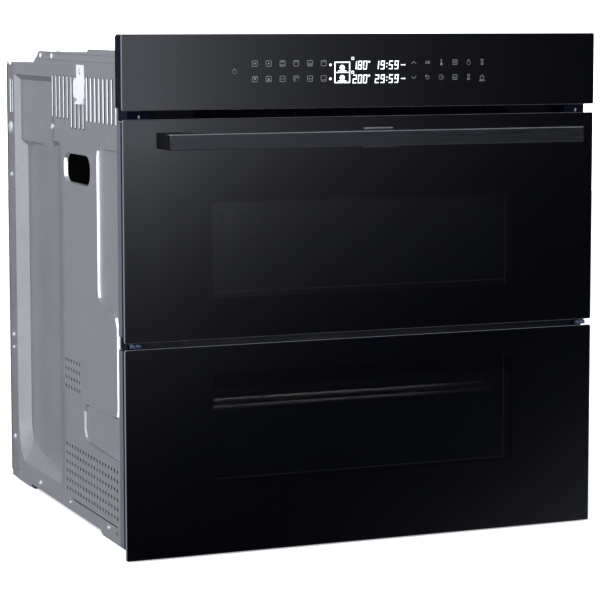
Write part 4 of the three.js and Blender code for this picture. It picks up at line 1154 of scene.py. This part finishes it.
def symbol(mark, kind, x, z):
    """One touch symbol, about six millimetres wide; the first twelve kinds are oven modes in a square."""
    w = SYMBOL_STROKE
    if kind < 12:
        mark.square(x, z, 3.1, w)
        if kind in (0, 1, 6, 7):
            mark.dot(x, z, 1.1)
        if kind in (2, 3, 5, 6):
            mark.stroke(x - 2, z + 1.6, x + 2, z + 1.6, w)
        if kind in (2, 4, 7, 11):
            mark.stroke(x - 2, z - 1.6, x + 2, z - 1.6, w)
        if kind in (4, 8):
            mark.stroke(x - 2, z, x + 2, z, w)
        if kind == 9:
            mark.square(x + 0.8, z - 0.8, 2.2, w)
        if kind == 10:
            mark.path([(x - 1.8, z - 1), (x, z + 1), (x + 1.8, z - 1)], w)
    elif kind in (12, 18):
        up = 1 if kind == 12 else -1
        mark.path([(x - 2.8, z - 1.3 * up), (x, z + 1.3 * up), (x + 2.8, z - 1.3 * up)], w)
    elif kind == 13:
        mark.square(x - 1.4, z, 1.3, w)
        mark.path([(x + 0.8, z - 1.4), (x + 0.8, z + 1.4)], w)
        mark.path([(x + 2.8, z + 1.4), (x + 0.9, z), (x + 2.8, z - 1.4)], w)
    elif kind == 14:
        mark.stroke(x, z - 1, x, z + 3.2, 1.0)
        mark.dot(x, z - 2, 1.6)
    elif kind in (15, 21):
        mark.square(x, z, 2.8, w)
        mark.stroke(x - 2.8, z, x + 2.8, z, w)
        mark.stroke(x, z - 2.8, x, z + 2.8 if kind == 15 else z, w)
    elif kind == 16:
        mark.path([(x, z + 3.4), (x - 2.1, z - 0.2)], w)
        mark.path([(x, z + 3.4), (x + 2.1, z - 0.2)], w)
        mark.ring(x, z - 1, 2.2, w, 160, 380, 10)
    elif kind in (17, 22):
        mark.path([(x - 2, z + 3), (x + 2, z + 3), (x - 1.8, z - 3), (x + 2, z - 3), (x - 2, z + 3)], w)
    elif kind == 19:
        mark.path([(x - 3, z + 1.6), (x + 1.2, z + 1.6), (x + 2.6, z), (x + 1.2, z - 1.8),
                   (x - 1.6, z - 1.8)], w)
        mark.path([(x - 1.4, z + 3.2), (x - 3, z + 1.6), (x - 1.4, z)], w)
    elif kind == 20:
        mark.ring(x, z, 2.9, w)
        mark.path([(x, z + 1.8), (x, z), (x + 1.4, z - 0.6)], w)
    else:
        mark.square(x, z - 1.2, 2.4, w, 1.9)
        mark.ring(x, z + 0.8, 1.7, w, 0, 180, 8)
        mark.stroke(x - 3.6, z - 4.6, x + 3.6, z - 4.6, 0.6)


def touch_symbols():
    grey = Print()
    for row, z in enumerate(SYMBOL_ROWS):
        for column in range(SYMBOLS_IN_ROW):
            kind = row * SYMBOLS_IN_ROW + column
            symbol(grey, kind, MODE_X + MODE_STEP * column, z)
            symbol(grey, kind + 12, TOOL_X + TOOL_STEP * column, z)
    grey.ring(POWER_X, POWER_Z, 2.7, SYMBOL_STROKE, 120, 420, 14)
    grey.stroke(POWER_X, POWER_Z + 0.6, POWER_X, POWER_Z + 3.6, SYMBOL_STROKE)
    grey.place("touch_symbols", "print_grey")


# ------------------------------------------------------------------ build
def build_casing():
    place_pair(side_panel(), "side_panel_sheet", "cabinet", "galvanised_steel", ["side_panel"])
    place_pair(carry_pocket_shade(), "carry_pocket_shade", "cabinet", "black_plastic")
    place_pair(painted_shade_plates(), "side_painted_shades", "cabinet", "black_plastic")
    place_pair(side_clip(), "side_spring", "cabinet", "plated_steel", ["side_clip"])
    place_pair(side_screws(), "side_screws", "cabinet", "plated_steel")
    top_cover().place("top_sheet", "cabinet", "galvanised_steel", "top_cover")
    rear_cover().place("rear_sheet", "cabinet", "galvanised_steel", "rear_cover")
    deck().place("deck_sheet", "cabinet", "galvanised_steel", "component_deck")
    terminal_box().place("terminal_block", "cabinet", "black_plastic", "terminal_box")


def build_front():
    fronts = (("control", FRONT_HALF, CONTROL_Z, None, "cabinet", "control_glass"),
              ("upper", DOOR_HALF, UPPER_Z, UPPER_WINDOW, "upper_door", "upper_outer_glass"),
              ("lower", DOOR_HALF, LOWER_Z, LOWER_WINDOW, "lower_door", "lower_outer_glass"))
    for name, half, z, window, body, node in fronts:
        pane(half, z, window).place(name + "_pane", body, "black_glass", node)
    panes = (("upper_middle_glass", 255, (18, 21), (269, 484), 50, 22),
             ("upper_inner_glass", 258, (34.2, 38.2), (263, 489), 54, 20),
             ("lower_middle_glass", 255, (18, 21), (26, 226), 50, 16),
             ("lower_inner_glass", 258, (34.2, 38.2), (20, 231), 54, 18))
    for node, half, y, z, border, lip in panes:
        body = node.split("_")[0] + "_door"
        inner_pane(half, y, z, border, lip).place(node + "_printed", body, "clear_glass", node)
    frame_trims()
    control_top_lip().place("control_top_lip", "cabinet", "black_plastic")
    gap_pins().place("air_gap_pins", "cabinet", "plated_steel")
    gap_blocks().place("door_gap_blocks", "lower_door", "black_plastic")
    outlet_shade_grille().place("air_outlet_grille", "cabinet", "black_plastic")
    window_spacer(UPPER_WINDOW, 5).place("upper_window_spacer", "upper_door", "black_plastic")
    window_spacer(LOWER_WINDOW, 1).place("lower_window_spacer", "lower_door", "black_plastic")
    handle = [
        handle_bar().place("handle_bar_brushed", "upper_door", "dark_anodised", "handle_bar"),
        *place_pair(handle_post(), "handle_end", "upper_door", "black_plastic", ["handle_post"]),
        release_lever().place("lever_blade", "lever", "dark_anodised", "release_lever"),
    ]
    for piece in handle:
        piece.visible_glossy = False
    display()
    touch_symbols()


def build_inside():
    wire_shelf().place("shelf_wires", "shelf", "chrome_wire", "wire_shelf")
    place_pair(side_rack(), "rack_wires", "cabinet", "chrome_wire", ["side_rack"])
    divider().place("divider_sheet", "divider", "enamel", "divider_plate")


def dress_cad_nodes():
    """Soft edges and a material on every CAD node that still shows."""
    slots = {entry["node"]: entry["material_slot"] for entry in frame["record"]["subparts"]}
    for name, node in frame["nodes"].items():
        if node.hide_render:
            continue
        look = slots[name]
        if name.startswith("split_hinge"):
            look = "hinge_steel"
        node.data.materials.clear()
        node.data.materials.append(LOOKS[look].material)
        weld = node.modifiers.new("weld", "WELD")
        weld.merge_threshold = 0.00002
        bevel = node.modifiers.new("soft_edges", "BEVEL")
        bevel.width = 0.0004
        bevel.segments = 2
        bevel.limit_method = "ANGLE"
        bevel.angle_limit = math.radians(40)
        for polygon in node.data.polygons:
            polygon.use_smooth = True
        bevel.harden_normals = True


build_casing()
build_front()
build_inside()
dress_cad_nodes()


# ------------------------------------------------------------------ stage
class Sums:
    """Number nodes of the studio's light, written as formulas."""

    def __init__(self, tree):
        self.tree = tree

    def op(self, operation, *values):
        made = self.tree.nodes.new("ShaderNodeMath")
        made.operation = operation
        for socket, value in zip(made.inputs, values):
            if isinstance(value, (int, float)):
                socket.default_value = value
            else:
                self.tree.links.new(value, socket)
        return made.outputs[0]

    def above(self, value, start, span):
        """0 up to start, then rising by 1 per span."""
        return self.op("MAXIMUM", self.op("DIVIDE", self.op("SUBTRACT", value, start), span), 0.0)

    def decay(self, value):
        return self.op("POWER", math.e, self.op("MULTIPLY", value, -1.0))


COOL_WHITE = (0.94, 0.97, 1.09)
FRONT_BLEND = 20
FIELD_RIGHT, FIELD_FOOT = (18.4, 3.15), (2.9, 2.79)  # where the field starts to fade, and how slowly
LIFT_AT, LIFT_SPAN, LIFT_PEAK = 46.0, 2.6, 0.8
FIELD_PEAK = 2.4
FIELD = ((-180, 0.04), (-172, 0.12), (-163, 0.42), (-154, 0.72), (-140, 0.8), (-120, 0.68), (-95, 0.8),
         (-70, 1.25), (-48, 2.3), (-20, 2.4), (18, 2.15), (60, 2.15), (90, 0.4), (150, 0.2), (180, 0.04))


def sky():
    """Studio all round: a broad white field in front, left of the camera, that fades out towards the right,
    so that the polished front mirrors it in its upper left corner only. Angles are in degrees; bearing is 0
    in front of the oven and grows towards its right."""
    world = bpy.data.worlds.new("studio")
    bpy.context.scene.world = world
    world.use_nodes = True
    tree = world.node_tree
    sums = Sums(tree)
    split = tree.nodes.new("ShaderNodeSeparateXYZ")
    tree.links.new(tree.nodes.new("ShaderNodeTexCoord").outputs["Generated"], split.inputs[0])
    x, y, z = split.outputs
    bearing = sums.op("DEGREES", sums.op("ARCTAN2", x, sums.op("MULTIPLY", y, -1.0)))
    height = sums.op("DEGREES", sums.op("ARCSINE", z))
    ramp = tree.nodes.new("ShaderNodeValToRGB")
    elements = ramp.color_ramp.elements
    while len(elements) < len(FIELD):
        elements.new(0.5)
    for element, (angle, level) in zip(elements, FIELD):
        element.position = (angle + 180) / 360
        element.color = (level / FIELD_PEAK,) * 3 + (1,)
    tree.links.new(sums.op("DIVIDE", sums.op("ADD", bearing, 180.0), 360.0), ramp.inputs["Fac"])
    field = sums.op("MULTIPLY", ramp.outputs["Color"], FIELD_PEAK)
    front_only = sums.op("MINIMUM", sums.above(bearing, -FRONT_BLEND, FRONT_BLEND), 1.0)
    drop = sums.above(sums.op("MULTIPLY", height, -1.0), *FIELD_FOOT)
    drop = sums.op("ADD", drop, sums.op("MULTIPLY", sums.op("MULTIPLY", drop, drop), 0.06))
    below = sums.op("MULTIPLY", drop, front_only)
    fade = sums.decay(sums.op("ADD", sums.above(bearing, *FIELD_RIGHT), below))
    # a faint second light far to the lower right
    slant = sums.op("SUBTRACT", bearing, sums.op("MULTIPLY", height, 1.2))
    lift = sums.op("POWER", math.e, sums.op("DIVIDE", sums.op("SUBTRACT", slant, LIFT_AT), LIFT_SPAN))
    from_left = sums.op("MINIMUM", sums.above(bearing, 14, 8), 1.0)
    lift = sums.op("MULTIPLY", sums.op("MINIMUM", lift, LIFT_PEAK), from_left)
    # away from the front, more light from above than from below
    tall = sums.op("ADD", sums.op("DIVIDE", sums.op("ADD", height, 6.0), 60.0), 1.0)
    tall = sums.op("MINIMUM", sums.op("MAXIMUM", tall, 0.35), 1.3)
    side_only = sums.op("SUBTRACT", 1.0, front_only)
    tall = sums.op("ADD", sums.op("MULTIPLY", sums.op("SUBTRACT", tall, 1.0), side_only), 1.0)
    light = sums.op("ADD", sums.op("MULTIPLY", sums.op("MULTIPLY", field, fade), tall), lift)
    tint = tree.nodes.new("ShaderNodeVectorMath")
    tint.operation = "SCALE"
    tint.inputs[0].default_value = COOL_WHITE
    tree.links.new(light, tint.inputs["Scale"])
    background = tree.nodes["Background"]
    tree.links.new(tint.outputs[0], background.inputs["Color"])
    background.inputs["Strength"].default_value = 1.0


def white_sheet(name, size, matrix, rough, base, glow):
    """Plain square of the studio."""
    bm = bmesh.new()
    bmesh.ops.create_grid(bm, x_segments=1, y_segments=1, size=size, matrix=matrix)
    mesh = bpy.data.meshes.new(name)
    bm.to_mesh(mesh)
    bm.free()
    made = bpy.data.objects.new(name, mesh)
    bpy.context.scene.collection.objects.link(made)
    material = bpy.data.materials.new(name)
    material.use_nodes = True
    shader = material.node_tree.nodes["Principled BSDF"]
    shader.inputs["Base Color"].default_value = (base, base, base, 1)
    shader.inputs["Roughness"].default_value = rough
    shader.inputs["Emission Color"].default_value = (1, 1, 1, 1)
    shader.inputs["Emission Strength"].default_value = glow
    mesh.materials.append(material)
    return made


def floor():
    made = white_sheet("studio_floor", 6, Matrix.Identity(4), 0.9, 0.93, 0.35)
    made.location.z = -0.0005
    made.visible_glossy = False


def lamp(name, place, target, size, power, mirrored=False):
    data = bpy.data.lights.new(name, "AREA")
    data.shape = "RECTANGLE"
    data.size, data.size_y = size
    data.energy = power
    made = bpy.data.objects.new(name, data)
    made.location = place
    made.rotation_euler = (Vector(target) - Vector(place)).to_track_quat("-Z", "Y").to_euler()
    made.visible_glossy = mirrored
    made.visible_camera = False
    bpy.context.scene.collection.objects.link(made)


EYE = (-1.102, -2.769, 0.613)
YAW, PITCH = math.radians(22.8), math.radians(6.07)
LENS, FILM, SHIFT = 141.78, 36, -0.05


def camera():
    data = bpy.data.cameras.new("camera")
    data.lens = LENS
    data.sensor_width = FILM
    data.shift_x = SHIFT
    data.shift_y = SHIFT
    made = bpy.data.objects.new("camera", data)
    made.location = EYE
    forward = Vector((math.sin(YAW) * math.cos(PITCH), math.cos(YAW) * math.cos(PITCH), -math.sin(PITCH)))
    made.rotation_euler = forward.to_track_quat("-Z", "Y").to_euler()
    bpy.context.scene.collection.objects.link(made)
    bpy.context.scene.camera = made


def backdrop():
    """White wall far behind, seen by the camera only."""
    upright = Matrix.Rotation(math.pi / 2, 4, "X")
    turn = Matrix.Rotation(-YAW, 4, "Z") @ Matrix.Translation((0, 5.5, 0)) @ upright
    made = white_sheet("studio_backdrop", 9, turn, 0.5, 0.9, 1.0)
    for ray in ("diffuse", "glossy", "transmission", "shadow"):
        setattr(made, "visible_" + ray, False)


bpy.context.scene.view_settings.view_transform = "Standard"
sky()
floor()
backdrop()
MIDDLE = (0, 0, 0.3)
lamp("key", (-2.2, -2.2, 2.6), MIDDLE, (1.6, 1.6), 40)
lamp("fill", (2.4, -2.0, 1.8), MIDDLE, (1.8, 1.8), 18)
lamp("side", (-3.0, 0.6, 1.2), MIDDLE, (1.4, 2.0), 26)
lamp("lower_cavity", at(-40, 52, 222), at(-40, 84, 160), (0.34, 0.02), 0.1, True)
lamp("upper_cavity", at(-60, 60, 400), at(-60, 200, 300), (0.3, 0.02), 0.03, True)
camera()
